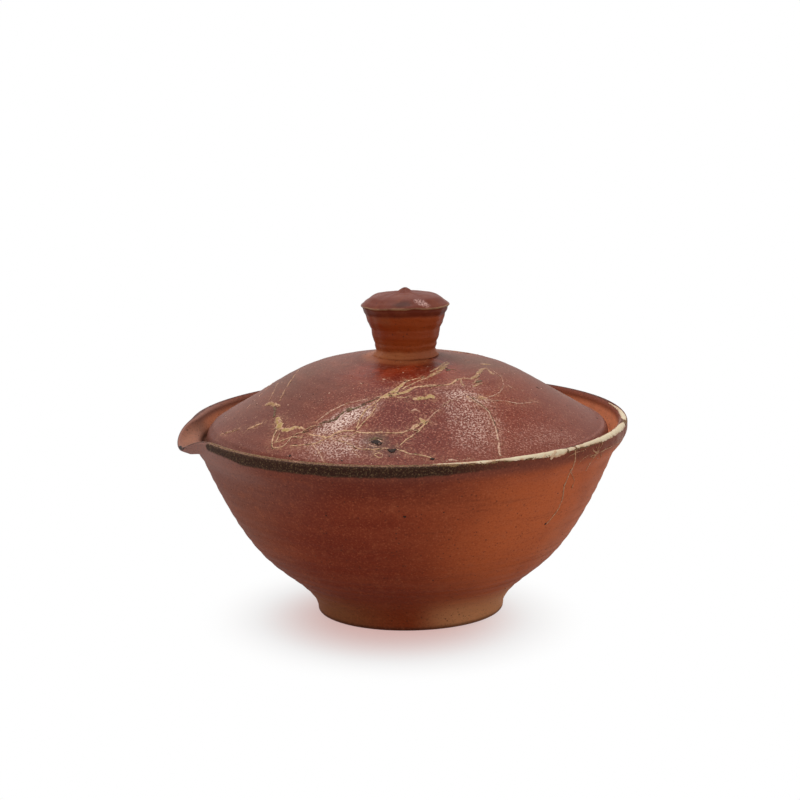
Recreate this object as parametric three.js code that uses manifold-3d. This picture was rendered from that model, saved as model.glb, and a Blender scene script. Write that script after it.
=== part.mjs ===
// A shiboridashi: a small handleless teapot of unglazed, wood-fired stoneware. A wide thrown bowl has
// a lip pulled out into a short spout. Its domed lid drops onto a ledge inside the lip, and a comb of
// grooves cut across that ledge behind the spout holds the tea leaves back. The knob is thrown apart
// and luted to the lid. Millimetres, +Z up, the origin at the middle of the flat base, spout along -X.
import * as THREE from "three";
import { mergeVertices } from "three/addons/utils/BufferGeometryUtils.js";
import Module from "manifold-3d";

const wasm = await Module();
wasm.setup();

// Driving dimensions of the bowl.
const RIM_RADIUS = 57; // outside of the lip
const RIM_HEIGHT = 50.6; // crest of the lip above the table
const BASE_RADIUS = 24.2; // flat, wire-cut base
const BASE_ROUND = 0.9; // softened edge of the base
const FOOT_HEIGHT = 5; // where the wall leaves the foot
const FOOT_FLARE = 1.7; // how much wider the foot is there than the base
const WALL_AT_FOOT = 4.8;
const WALL_AT_LEDGE = 3.6;
const FLOOR_THICKNESS = 6;
const COLLAR_DEPTH = 8; // from the crest down to the crease where the lip starts
const COLLAR_FLARE = 3.6; // how far the lip stands out past that crease
const CREST_RADIUS = 1.2; // half the thickness of the lip at its crest
const GALLERY_DEPTH = 5.6; // from the crest down to the ledge that carries the lid
const GALLERY_INSET = 4; // from the outside of the lip in to the foot of the gallery wall
const LEDGE_WIDTH = 3.4;

// Spout: the lip folded outwards, and the comb of grooves behind it.
const SPOUT_HALF_WIDTH = 11.6; // along the rim, to where the fold has died away to a third
const SPOUT_FOLD = 62; // degrees
const SPOUT_SQUARENESS = 3.2; // 2 is a bell, and more gives a flatter channel with steeper sides
const SPOUT_BEND = 3; // height over which the fold is taken up
const SPOUT_HINGE_OUT = 1.2; // the fold's centre, outside the foot of the gallery wall
const GROOVES = 7;
const GROOVE_RADIUS = 0.8;
const GROOVE_PITCH = 2.6;
const GROOVE_SINK = 0.2; // the groove's axis below the ledge
const GROOVE_OVERRUN = 1; // past the ledge at both ends

// Driving dimensions of the lid.
const LID_PLAY = 1; // between the lid's edge and the gallery wall
const LID_WALL = 3.6;
const LID_RISE = 22.3; // from the ledge to the top of the crown
const SHOULDER_RADIUS = 36; // where the dome turns from swelling to falling away straight
const SHOULDER_DROP = 9; // from the crown down to the shoulder
const EDGE_HEIGHT = 4.2; // from the seat to the top of the lid's rounded edge
const EDGE_SLOPE_WIDTH = 1.3; // from the outside of the lid in to the top of that edge
const SEAT_WIDTH = 3; // flat ring that rests on the ledge
const SEAT_ROUND = 0.7;

// Driving dimensions of the knob.
const KNOB_FOOT_RADIUS = 8.5;
const KNOB_FOOT_HEIGHT = 0.6;
const KNOB_NECK_RADIUS = 7.5;
const KNOB_NECK_HEIGHT = 1.8;
const KNOB_CAP_RADIUS = 11.4;
const KNOB_CAP_HEIGHT = 13.1; // from the lid's crown up to the sharp edge of the cap
const KNOB_UNDERCUT = 0.5; // the cap's edge stands this far out past the throwing rings
const KNOB_CAP_RISE = 3.6; // from that edge to the foot of the nipple
const KNOB_BEVEL_WIDTH = 2.7;
const KNOB_BEVEL_RISE = 2.1;
const KNOB_RINGS = 3; // throwing rings round the flaring side
const KNOB_RING_DEPTH = 0.28;
const NIPPLE_RADIUS = 1.6;
const NIPPLE_HEIGHT = 0.8;

// The smooth stretches of the profiles. Each leaves its first point and reaches its last at the given
// angles above the horizontal, in degrees. A pull is a share of the distance between those points.
const FOOT_LINE = { angles: [84, 52], pullShares: [0.4, 0.3], steps: 3 };
const BELLY_LINE = { angles: [51, 67], pullShares: [0.27, 0.74], steps: 11 };
const LIP_LINE = { angles: [52, 90], pullShares: [0.45, 0.4], steps: 5 };
const GALLERY_LINE = { angles: [262, 250], pullShares: [0.3, 0.3], steps: 4 };
const FLOOR_LINE = { angles: [0, BELLY_LINE.angles[0]], pullShares: [0.5, 0.3], steps: 4 };
const CROWN_LINE = { angles: [-11, -32], pullShares: [0.55, 0.45], steps: 9 };
const SLOPE_LINE = { angles: [-33, -34], pullShares: [0.3, 0.3], steps: 4 };
const EDGE_LINE = { angles: [90, 146], pullShares: [0.45, 0.35], steps: 4 };
const BEVEL_LINE = { angles: [128, 150], pullShares: [0.3, 0.3], steps: 3 };
const CAP_LINE = { angles: [156, 174], pullShares: [0.3, 0.3], steps: 3 };

// How finely the forms are faceted.
const BOWL_SEGMENTS = 80;
const LID_SEGMENTS = 60;
const KNOB_SEGMENTS = 36;
const GROOVE_SIDES = 8;
const CORNER_STEPS = 3;
const CREST_STEPS = 6;
const RING_STEPS = 4;
const WALL_STEPS = 9; // the inside of the bowl's wall
const HOLLOW_STEPS = 5; // the inside of the lid's crown
const CROWDING_SHARE = 0.62; // how far the bowl's facets crowd towards the spout

// Sizes that follow from the ones above.
const LEDGE_HEIGHT = RIM_HEIGHT - GALLERY_DEPTH;
const GALLERY_RADIUS = RIM_RADIUS - GALLERY_INSET;
const LID_RADIUS = GALLERY_RADIUS - LID_PLAY;
const CROWN_HEIGHT = LEDGE_HEIGHT + LID_RISE;

const radians = THREE.MathUtils.degToRad;

// A point of a profile: its distance from the axis and its height.
const at = (radius, height) => new THREE.Vector2(radius, height);
const towards = (degrees) => at(Math.cos(radians(degrees)), Math.sin(radians(degrees)));

// The curve of one smooth stretch between two points.
function sweep(from, to, line) {
  const reach = from.distanceTo(to);
  const [leaving, arriving] = line.angles.map((angle, end) =>
    towards(angle).multiplyScalar(reach * line.pullShares[end]),
  );
  return new THREE.CubicBezierCurve(from, from.clone().add(leaving), to.clone().sub(arriving), to);
}

// The points of such a stretch, without its first, and the same going back along a curve.
const run = (from, to, line) => sweep(from, to, line).getPoints(line.steps).slice(1);
const back = (curve, line) => curve.getPoints(line.steps).reverse().slice(1);

// Points beside a curve, on its left as it runs, with the gap going evenly from one value to another.
function beside(curve, steps, startGap, endGap) {
  return Array.from({ length: steps + 1 }, (_, i) => {
    const along = i / steps;
    const ahead = curve.getTangent(along);
    const gap = THREE.MathUtils.lerp(startGap, endGap, along);
    return curve.getPoint(along).add(at(-ahead.y, ahead.x).multiplyScalar(gap));
  });
}

// Points on an arc round a centre, from one angle to another, in degrees.
function arc(centre, radius, startAngle, endAngle, steps) {
  return Array.from({ length: steps + 1 }, (_, i) => {
    const angle = THREE.MathUtils.lerp(startAngle, endAngle, i / steps);
    return centre.clone().add(towards(angle).multiplyScalar(radius));
  });
}

// Turns a profile round +Z. It runs outwards along the underside and comes back over the top.
function turned(profile, segments) {
  return new THREE.LatheGeometry(profile, segments).rotateX(radians(90));
}

function toSolid(geometry) {
  const bare = geometry.clone();
  bare.deleteAttribute("normal");
  bare.deleteAttribute("uv");
  const merged = mergeVertices(bare);
  return new wasm.Manifold(
    new wasm.Mesh({
      numProp: 3,
      vertProperties: merged.getAttribute("position").array,
      triVerts: Uint32Array.from(merged.index.array),
    }),
  );
}

function toGeometry(solid) {
  const mesh = solid.getMesh();
  const geometry = new THREE.BufferGeometry();
  geometry.setAttribute("position", new THREE.BufferAttribute(mesh.vertProperties, 3));
  geometry.setIndex(new THREE.BufferAttribute(mesh.triVerts, 1));
  geometry.computeVertexNormals();
  return geometry;
}

function stoneware(name, geometry, color) {
  const material = new THREE.MeshStandardMaterial({ color, roughness: 0.62, metalness: 0 });
  const mesh = new THREE.Mesh(geometry, material);
  mesh.name = name;
  return mesh;
}

// The bowl's profile: flat base, short foot, swelling belly, crease, flared lip, gallery and ledge,
// and the inside of the wall back down to the floor.
function bowlProfile() {
  const footTop = at(BASE_RADIUS + FOOT_FLARE, FOOT_HEIGHT);
  const crease = at(RIM_RADIUS - COLLAR_FLARE, RIM_HEIGHT - COLLAR_DEPTH);
  const crestCentre = at(RIM_RADIUS - CREST_RADIUS, RIM_HEIGHT - CREST_RADIUS);
  const crestInside = crestCentre.clone().sub(at(CREST_RADIUS, 0));
  const belly = sweep(footTop, crease, BELLY_LINE);
  const wallInside = beside(belly, WALL_STEPS, WALL_AT_FOOT, WALL_AT_LEDGE).reverse();
  const floor = sweep(at(0, FLOOR_THICKNESS), wallInside.at(-1), FLOOR_LINE);
  return [
    at(0, 0),
    ...arc(at(BASE_RADIUS - BASE_ROUND, BASE_ROUND), BASE_ROUND, -90, 0, CORNER_STEPS),
    ...run(at(BASE_RADIUS, BASE_ROUND), footTop, FOOT_LINE),
    ...run(footTop, crease, BELLY_LINE),
    ...run(crease, at(RIM_RADIUS, crestCentre.y), LIP_LINE),
    ...arc(crestCentre, CREST_RADIUS, 0, 180, CREST_STEPS).slice(1),
    ...run(crestInside, at(GALLERY_RADIUS, LEDGE_HEIGHT), GALLERY_LINE),
    at(GALLERY_RADIUS - LEDGE_WIDTH, LEDGE_HEIGHT),
    ...wallInside,
    ...back(floor, FLOOR_LINE),
  ];
}

// Folds the lip outwards along -X, round a centre just outside the gallery wall, so that its crest
// comes down nearly to the ledge. The facets first crowd round towards the spout.
function pullSpout(geometry) {
  const points = geometry.getAttribute("position");
  const hinge = at(GALLERY_RADIUS + SPOUT_HINGE_OUT, LEDGE_HEIGHT);
  for (let i = 0; i < points.count; i++) {
    const even = Math.atan2(points.getY(i), -points.getX(i));
    const round = even - CROWDING_SHARE * Math.sin(even);
    const radius = Math.hypot(points.getX(i), points.getY(i));
    const height = points.getZ(i);
    const aside = Math.abs((round * RIM_RADIUS) / SPOUT_HALF_WIDTH);
    const taken = THREE.MathUtils.smoothstep(height, LEDGE_HEIGHT, LEDGE_HEIGHT + SPOUT_BEND);
    const fold = radians(SPOUT_FOLD) * Math.exp(-(aside ** SPOUT_SQUARENESS)) * taken;
    const folded = at(radius, height).rotateAround(hinge, -fold);
    points.setXYZ(i, -folded.x * Math.cos(round), folded.x * Math.sin(round), folded.y);
  }
  return geometry;
}

// The comb of half-round grooves across the ledge, side by side behind the spout.
function grooveCutters() {
  const length = LEDGE_WIDTH + GROOVE_OVERRUN * 2;
  const middle = GALLERY_RADIUS - LEDGE_WIDTH / 2;
  return Array.from({ length: GROOVES }, (_, i) => {
    const aside = (i - (GROOVES - 1) / 2) * GROOVE_PITCH;
    const cutter = new THREE.CylinderGeometry(GROOVE_RADIUS, GROOVE_RADIUS, length, GROOVE_SIDES);
    cutter.rotateZ(radians(90));
    cutter.translate(-middle, 0, LEDGE_HEIGHT - GROOVE_SINK);
    cutter.rotateZ(aside / middle);
    return toSolid(cutter);
  });
}

function makeBowl() {
  const body = toSolid(pullSpout(turned(bowlProfile(), BOWL_SEGMENTS)));
  const strained = grooveCutters().reduce((solid, cutter) => solid.subtract(cutter), body);
  return stoneware("bowl", toGeometry(strained), 0x8a4028);
}

// The lid's profile: the hollow under the dome, the seat, the rounded edge, and the dome back up to
// the flat land that the knob is luted to.
function lidProfile() {
  const land = at(KNOB_FOOT_RADIUS, CROWN_HEIGHT);
  const shoulder = at(SHOULDER_RADIUS, CROWN_HEIGHT - SHOULDER_DROP);
  const edgeTop = at(LID_RADIUS - EDGE_SLOPE_WIDTH, LEDGE_HEIGHT + EDGE_HEIGHT);
  const edgeCentre = at(LID_RADIUS - SEAT_ROUND, LEDGE_HEIGHT + SEAT_ROUND);
  const seatInside = LID_RADIUS - SEAT_ROUND - SEAT_WIDTH;
  const crown = sweep(land, shoulder, CROWN_LINE);
  const slope = sweep(shoulder, edgeTop, SLOPE_LINE);
  return [
    at(0, CROWN_HEIGHT - LID_WALL),
    ...beside(crown, HOLLOW_STEPS, -LID_WALL, -LID_WALL),
    ...beside(slope, CORNER_STEPS, -LID_WALL, -LID_WALL).slice(1, -1),
    at(seatInside, edgeCentre.y),
    at(seatInside, LEDGE_HEIGHT),
    ...arc(edgeCentre, SEAT_ROUND, -90, 0, CORNER_STEPS),
    ...run(at(LID_RADIUS, edgeCentre.y), edgeTop, EDGE_LINE),
    ...back(slope, SLOPE_LINE),
    ...back(crown, CROWN_LINE),
    at(0, CROWN_HEIGHT),
  ];
}

function makeLid() {
  return stoneware("lid", turned(lidProfile(), LID_SEGMENTS), 0x86503f);
}

// The knob's profile: a small foot, a neck, the flaring side with its throwing rings, and a low
// bevelled cap that ends in a nipple.
function knobProfile() {
  const height = (above) => CROWN_HEIGHT + above;
  const neck = at(KNOB_NECK_RADIUS, height(KNOB_NECK_HEIGHT));
  const underEdge = at(KNOB_CAP_RADIUS - KNOB_UNDERCUT, height(KNOB_CAP_HEIGHT - KNOB_UNDERCUT));
  const rings = Array.from({ length: KNOB_RINGS * RING_STEPS }, (_, i) => {
    const along = (i + 1) / (KNOB_RINGS * RING_STEPS);
    const swell = Math.abs(Math.sin(Math.PI * along * KNOB_RINGS)) * KNOB_RING_DEPTH;
    return neck.clone().lerp(underEdge, along).add(at(swell, 0));
  });
  const edge = at(KNOB_CAP_RADIUS, height(KNOB_CAP_HEIGHT));
  const bevelTop = edge.clone().add(at(-KNOB_BEVEL_WIDTH, KNOB_BEVEL_RISE));
  const nippleFoot = at(NIPPLE_RADIUS, height(KNOB_CAP_HEIGHT + KNOB_CAP_RISE));
  return [
    at(0, CROWN_HEIGHT),
    at(KNOB_FOOT_RADIUS, CROWN_HEIGHT),
    at(KNOB_FOOT_RADIUS, height(KNOB_FOOT_HEIGHT)),
    neck,
    ...rings,
    edge,
    ...run(edge, bevelTop, BEVEL_LINE),
    ...run(bevelTop, nippleFoot, CAP_LINE),
    at(NIPPLE_RADIUS / 2, nippleFoot.y + NIPPLE_HEIGHT / 2),
    at(0, nippleFoot.y + NIPPLE_HEIGHT),
  ];
}

function makeKnob() {
  return stoneware("knob", turned(knobProfile(), KNOB_SEGMENTS), 0x8f4a30);
}

const shiboridashi = new THREE.Group();
shiboridashi.add(makeBowl());
shiboridashi.add(makeLid());
shiboridashi.add(makeKnob());

export default shiboridashi;
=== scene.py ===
# %% [markdown]
# # A shiboridashi of wood-fired stoneware
#
# A shiboridashi is a small teapot without a handle: a wide thrown bowl whose lip is pulled into a
# spout, and a loose domed lid that holds the leaves back. Its construction is already settled in a
# frame of plain solids. This lesson keeps their sizes and gives them the looks of the real pot:
# throwing rings, a folded lip, orange and purple fire colours, melted straw ash and pitted clay.

# %% Load the fixed frame
import math

import bpy
import numpy as np
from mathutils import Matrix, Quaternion, Vector
from mathutils.bvhtree import BVHTree


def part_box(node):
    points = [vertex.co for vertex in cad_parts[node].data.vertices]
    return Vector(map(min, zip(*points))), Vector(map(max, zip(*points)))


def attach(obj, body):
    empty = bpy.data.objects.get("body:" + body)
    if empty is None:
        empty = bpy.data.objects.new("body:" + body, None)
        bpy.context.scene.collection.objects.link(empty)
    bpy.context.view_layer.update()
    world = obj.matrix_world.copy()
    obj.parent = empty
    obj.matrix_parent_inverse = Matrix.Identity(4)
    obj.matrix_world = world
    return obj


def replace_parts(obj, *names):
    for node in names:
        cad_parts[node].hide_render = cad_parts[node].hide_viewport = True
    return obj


MM = 0.001
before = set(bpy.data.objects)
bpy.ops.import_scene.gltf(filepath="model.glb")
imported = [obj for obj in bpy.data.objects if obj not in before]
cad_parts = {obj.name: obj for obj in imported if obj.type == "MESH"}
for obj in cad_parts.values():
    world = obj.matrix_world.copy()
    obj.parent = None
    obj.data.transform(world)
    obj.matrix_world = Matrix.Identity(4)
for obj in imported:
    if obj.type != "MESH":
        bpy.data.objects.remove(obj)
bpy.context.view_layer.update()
_, bowl_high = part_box("bowl")
lid_low, lid_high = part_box("lid")
knob_low, knob_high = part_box("knob")
RIM_RADIUS = bowl_high.y
RIM_HEIGHT = bowl_high.z
LEDGE_HEIGHT = lid_low.z
LID_RADIUS = lid_high.x
CROWN_HEIGHT = knob_low.z
print(f"rim {RIM_RADIUS / MM:.1f} mm out and {RIM_HEIGHT / MM:.1f} mm up")
print(f"lid {LID_RADIUS / MM:.1f} mm out on a ledge {LEDGE_HEIGHT / MM:.1f} mm up")


def mm(*lengths):
    """Several lengths in millimetres, turned to Blender's metres."""
    return tuple(length * MM for length in lengths)


# %% [markdown]
# ## The camera
#
# The picture was taken from about arm's length, a little above the rim, with a lens that hardly
# spreads. Camera values that reproduce a photograph are found by fitting the ellipse of the rim, so
# they are kept here as measured. The camera comes first because later cells place the ash marks by
# where the picture shows them.

# %% Place the camera
PICTURE_SIDE = 800  # pixels
FOCAL_LENGTH = 3090  # pixels
SENSOR_WIDTH = 36
CAMERA_DISTANCE = 800 * MM
CAMERA_AZIMUTH = math.radians(-10)
CAMERA_ELEVATION = math.radians(11.6)
CAMERA_ROLL = math.radians(1.09)
AIM_ASIDE = -1.8 * MM
AIM_HEIGHT = 55.3 * MM


def new_object(name, data):
    """An object in the scene that shows a mesh, a curve, a lamp or a camera."""
    made = bpy.data.objects.new(name, data)
    bpy.context.scene.collection.objects.link(made)
    return made


camera_right = Vector((math.cos(CAMERA_AZIMUTH), math.sin(CAMERA_AZIMUTH), 0))
camera_ahead = Vector(
    (
        -math.sin(CAMERA_AZIMUTH) * math.cos(CAMERA_ELEVATION),
        math.cos(CAMERA_AZIMUTH) * math.cos(CAMERA_ELEVATION),
        -math.sin(CAMERA_ELEVATION),
    )
)
aim = camera_right * AIM_ASIDE + Vector((0, 0, AIM_HEIGHT))
camera_data = bpy.data.cameras.new("camera")
camera_data.sensor_width = SENSOR_WIDTH
camera_data.lens = FOCAL_LENGTH / PICTURE_SIDE * SENSOR_WIDTH
camera = new_object("camera", camera_data)
camera.location = aim - camera_ahead * CAMERA_DISTANCE
camera.rotation_mode = "QUATERNION"
level_turn = camera_ahead.to_track_quat("-Z", "Y")
camera.rotation_quaternion = Quaternion(camera_ahead, CAMERA_ROLL) @ level_turn
bpy.context.scene.camera = camera
print(f"camera {CAMERA_DISTANCE / MM:.0f} mm away, with a lens of {camera_data.lens:.0f} mm")


def sight_line(pixel):
    """The direction from the camera through one pixel of the picture."""
    aside = (pixel[0] - PICTURE_SIDE / 2) / FOCAL_LENGTH
    upward = (PICTURE_SIDE / 2 - pixel[1]) / FOCAL_LENGTH
    return (camera.rotation_quaternion @ Vector((aside, upward, -1))).normalized()


# %% [markdown]
# ## Node trees as sums
#
# Much of this pot follows rules, and Blender keeps rules in node trees. Built by hand in a script
# they grow long, so this small class lets one output of a node be added, multiplied or raised like
# a number. A rule then reads as the formula that it is.


# %% Let node outputs be used in sums
def pick(sockets, key):
    """A socket by its number, or the one in use that has a name."""
    if isinstance(key, int):
        return sockets[key]
    return next(s for s in sockets if s.name == key and s.enabled)


def feed(socket, value):
    """Links a field to an input, or sets the input to a plain value."""
    if isinstance(value, Field):
        socket.id_data.links.new(value.socket, socket)
    else:
        socket.default_value = value


def add(tree, kind, inputs=(), **options):
    """Adds a node, sets its options, fills its inputs by name or number, and gives its output."""
    node = tree.nodes.new(kind)
    for name, value in options.items():
        setattr(node, name, value)
    for key, value in dict(inputs).items():
        feed(pick(node.inputs, key), value)
    return Field(next(s for s in node.outputs if s.enabled))


def is_vector(value):
    if isinstance(value, Field):
        return value.socket.type in ("VECTOR", "RGBA")
    return isinstance(value, (tuple, Vector))


class Field:
    """One output of a node, which can be used in a sum."""

    def __init__(self, socket):
        self.socket = socket
        self.tree = socket.id_data

    def __getitem__(self, name):
        return Field(pick(self.socket.node.outputs, name))

    def math(self, operation, *others):
        if is_vector(self) or any(is_vector(other) for other in others):
            kind = "ShaderNodeVectorMath"
        else:
            kind = "ShaderNodeMath"
        return add(self.tree, kind, enumerate((self, *others)), operation=operation)

    def __add__(self, other):
        return self.math("ADD", other)

    __radd__ = __add__

    def __sub__(self, other):
        return self.math("SUBTRACT", other)

    def __rsub__(self, other):
        return self * -1 + other

    def __mul__(self, other):
        if is_vector(self) and not is_vector(other):
            inputs = {"Vector": self, "Scale": other}
            return add(self.tree, "ShaderNodeVectorMath", inputs, operation="SCALE")
        return self.math("MULTIPLY", other)

    __rmul__ = __mul__

    def __truediv__(self, other):
        return self.math("DIVIDE", other)

    def __rtruediv__(self, other):
        return add(self.tree, "ShaderNodeMath", {0: other, 1: self}, operation="DIVIDE")

    def __pow__(self, other):
        return self.math("POWER", other)

    def smooth(self, low, high):
        """0 up to low, 1 from high on, and a soft step between them."""
        inputs = {"Value": self, "From Min": low, "From Max": high}
        return add(self.tree, "ShaderNodeMapRange", inputs, interpolation_type="SMOOTHSTEP")

    def band(self, start, full, fading, end):
        """1 between full and fading, 0 before the start and after the end."""
        return self.smooth(start, full) * self.smooth(end, fading)


def split(field):
    """The three parts of a vector field."""
    parts = add(field.tree, "ShaderNodeSeparateXYZ", {"Vector": field})
    return parts["X"], parts["Y"], parts["Z"]


def join(tree, x, y, z):
    return add(tree, "ShaderNodeCombineXYZ", {"X": x, "Y": y, "Z": z})


def noise(tree, place, scale, detail=2.0, roughness=0.5, **options):
    """A soft random field from 0 to 1, mostly near the middle."""
    inputs = {"Vector": place, "Scale": scale, "Detail": detail, "Roughness": roughness}
    return add(tree, "ShaderNodeTexNoise", inputs, **options)


def start_tree(name, kind, takes, gives):
    """A node group with named inputs, and those inputs as fields."""
    tree = bpy.data.node_groups.new(name, kind)
    for label, (sort, value) in takes.items():
        socket = tree.interface.new_socket(label, in_out="INPUT", socket_type="NodeSocket" + sort)
        if value is not None:
            socket.default_value = value
    for label, sort in gives.items():
        tree.interface.new_socket(label, in_out="OUTPUT", socket_type="NodeSocket" + sort)
    source = tree.nodes.new("NodeGroupInput")
    return tree, {label: Field(source.outputs[label]) for label in takes}


def end_tree(tree, **given):
    """Links the group's outputs. An underscore in a name stands for a space."""
    sink = tree.nodes.new("NodeGroupOutput")
    for label, value in given.items():
        feed(sink.inputs[label.replace("_", " ")], value)
    print(f"{tree.name}: a tree of {len(tree.nodes)} nodes")
    return tree


# %% [markdown]
# ## Light and table
#
# The pot stands on a white sweep under a large, soft light that hangs a little behind it. The white
# room does most of the lighting, at the plain level where a colour comes out about as it is
# written. Close to the pot the table is a real matt surface, so that it takes the soft shadow, and
# a pink glow is painted on it there for the light that the red clay throws back. Further out the
# camera sees only white.

# %% Light the table
ROOM_LEVEL = 0.7
SOFTBOX_LEVEL = 6.5
SOFTBOX_SIDES = (0.75, 0.5)
SOFTBOX_PLACE = (-0.05, 0.2, 0.95)
SOFTBOX_AIM = (0, 0, 0.05)
TABLE_SIDE = 12.0
CARD_COLOUR = (0.86, 0.83, 0.82, 1)
# painted light: a pink glow near the pot for the light that the red clay throws onto the table
PAINTED_BOUNCE_COLOUR = (1.0, 0.66, 0.62, 1)
WHITE = (1, 1, 1, 1)
TABLE_SHADOW_CENTRE = mm(-6.5, -9.5, 0)
TABLE_SHADOW_SQUEEZE = (1.2, 1.0, 1.0)
TABLE_SHADOW_REACH = mm(18, 62)
TABLE_PAINTED_BOUNCE_REACH = mm(12, 44)
TABLE_GLOW_SHARE = 0.54


def start_material(name):
    """An empty material, its node tree, and the place on its object as a field."""
    material = bpy.data.materials.new(name)
    material.use_nodes = True
    material.node_tree.nodes.clear()
    place = add(material.node_tree, "ShaderNodeTexCoord")["Object"]
    return material, material.node_tree, place


def sees_white(tree):
    """1 for the rays of the camera, of reflections and of what is seen through glass."""
    ray = add(tree, "ShaderNodeLightPath")
    seen = ray["Is Camera Ray"].math("MAXIMUM", ray["Is Glossy Ray"])
    return seen.math("MAXIMUM", ray["Is Transmission Ray"])


def build_room():
    world = bpy.data.worlds.new("white_room")
    world.use_nodes = True
    bpy.context.scene.world = world
    tree = world.node_tree
    tree.nodes.clear()
    level = sees_white(tree) * (1 - ROOM_LEVEL) + ROOM_LEVEL
    white = add(tree, "ShaderNodeBackground", {"Color": WHITE, "Strength": level})
    feed(tree.nodes.new("ShaderNodeOutputWorld").inputs["Surface"], white)


def build_table():
    bpy.ops.mesh.primitive_plane_add(size=TABLE_SIDE)
    table = bpy.context.object
    table.name = "white_table"
    material, tree, place = start_material("white_card")
    card = add(tree, "ShaderNodeBsdfDiffuse", {"Color": CARD_COLOUR})
    away = ((place - TABLE_SHADOW_CENTRE) * TABLE_SHADOW_SQUEEZE).math("LENGTH")["Value"]
    # near the pot the glow is pink, painted light for the clay's bounce, and further out it is
    # white
    far = away.smooth(*TABLE_PAINTED_BOUNCE_REACH)
    inputs = {"Factor": far, "A": PAINTED_BOUNCE_COLOUR, "B": WHITE}
    painted_bounce = add(tree, "ShaderNodeMix", inputs, data_type="RGBA")
    glow = add(tree, "ShaderNodeEmission", {"Color": painted_bounce, "Strength": 1.0})
    glowing = away.smooth(*TABLE_SHADOW_REACH) * (1 - TABLE_GLOW_SHARE) + TABLE_GLOW_SHARE
    lost = glowing * sees_white(tree)
    mixed = add(tree, "ShaderNodeMixShader", {0: lost, 1: card, 2: glow})
    feed(tree.nodes.new("ShaderNodeOutputMaterial").inputs["Surface"], mixed)
    table.data.materials.append(material)


def hang_softbox():
    light = bpy.data.lights.new("softbox", "AREA")
    light.shape = "RECTANGLE"
    light.size, light.size_y = SOFTBOX_SIDES
    light.energy = SOFTBOX_LEVEL
    softbox = new_object("softbox", light)
    softbox.location = SOFTBOX_PLACE
    down = Vector(SOFTBOX_AIM) - softbox.location
    softbox.rotation_euler = down.to_track_quat("-Z", "Y").to_euler()


build_room()
build_table()
hang_softbox()
bpy.context.scene.view_settings.view_transform = "Standard"
print(f"room at {ROOM_LEVEL}, softbox of {SOFTBOX_LEVEL} watts")

# %% [markdown]
# ## The skin of fired clay
#
# Nothing on this pot is painted. Iron in the clay, flames that leave salt on one side, and straw
# ash that melts where it lands make all of its colour. Effects that more than one part shows are
# shader groups: the grain, the lines of throwing, soft-edged patches, and the side that faced the
# fire. Each gives plain masks, and the material decides what they mean.


# %% Group the effects that several clays share
def build_clay_grain():
    """Specks of iron, soft mottling and fine pitting in the body of the clay."""
    tree, take = start_tree(
        "Clay Grain",
        "ShaderNodeTree",
        {
            "Place": ("Vector", None),
            "Speck Spacing": ("Float", 1.3 * MM),
            "Speck Size": ("Float", 0.22),
            "Pit Spacing": ("Float", 0.45 * MM),
            "Tooth Size": ("Float", 0.48 * MM),
        },
        {"Specks": "Float", "Mottle": "Float", "Cloud": "Float", "Tooth": "Float", "Pits": "Float"},
    )
    spread = 1 / take["Speck Spacing"]
    inputs = {"Vector": take["Place"], "Scale": spread, "Randomness": 1.0}
    cell = add(tree, "ShaderNodeTexVoronoi", inputs)["Distance"]
    rare = noise(tree, take["Place"], spread * 0.31, 1.0).smooth(0.45, 0.6)
    specks = cell.smooth(take["Speck Size"], take["Speck Size"] * 0.45) * rare
    mottle = noise(tree, take["Place"], 330.0, 5.0, 0.62)
    cloud = noise(tree, take["Place"], 42.0, 3.0, 0.55)
    tooth = noise(tree, take["Place"], 1 / take["Tooth Size"], 2.0, 0.6)
    inputs = {"Vector": take["Place"], "Scale": 1 / take["Pit Spacing"], "Randomness": 0.9}
    pit = add(tree, "ShaderNodeTexVoronoi", inputs, feature="SMOOTH_F1")["Distance"]
    pits = pit.smooth(0.15, 0.5) * noise(tree, take["Place"], 1 / take["Pit Spacing"] * 0.6, 3.0)
    outputs = dict(Specks=specks, Mottle=mottle, Cloud=cloud, Tooth=tooth, Pits=pits)
    return end_tree(tree, **outputs)


def build_throwing_lines():
    """Fine lines round the pot, as the fingers and the slip leave them."""
    tree, take = start_tree(
        "Throwing Lines",
        "ShaderNodeTree",
        {"Place": ("Vector", None), "Along": ("Float", 0.0), "Pitch": ("Float", 1.1 * MM)},
        {"Fine": "Float", "Broad": "Float"},
    )
    x, y, _ = split(take["Place"])
    drawn = join(tree, x * 26, y * 26, take["Along"] / take["Pitch"])
    fine = noise(tree, drawn, 1.0, 3.0, 0.6)
    broad = noise(tree, drawn * (0.9, 0.9, 0.16), 1.0, 2.0)
    return end_tree(tree, Fine=fine, Broad=broad)


def build_soft_patch():
    """A patch about a centre, 1 inside and 0 outside, with a ragged soft edge."""
    tree, take = start_tree(
        "Soft Patch",
        "ShaderNodeTree",
        {
            "Place": ("Vector", None),
            "Centre": ("Vector", (0, 0, 0)),
            "Half Length": ("Float", 10 * MM),
            "Half Width": ("Float", 5 * MM),
            "Slant": ("Float", 0.0),
            "Softness": ("Float", 0.4),
            "Raggedness": ("Float", 0.5),
        },
        {"Mask": "Float"},
    )
    inputs = {
        "Vector": take["Place"] - take["Centre"],
        "Axis": (0.0, 0.0, 1.0),
        "Angle": take["Slant"] * -1,
    }
    x, y, _ = split(add(tree, "ShaderNodeVectorRotate", inputs))
    far = join(tree, x / take["Half Length"], y / take["Half Width"], 0.0).math("LENGTH")["Value"]
    rag = (noise(tree, take["Place"], 260.0, 5.0, 0.65) - 0.5) * take["Raggedness"] * 2
    mask = (far + rag).smooth(take["Softness"] + 1, 1 - take["Softness"])
    return end_tree(tree, Mask=mask)


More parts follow.
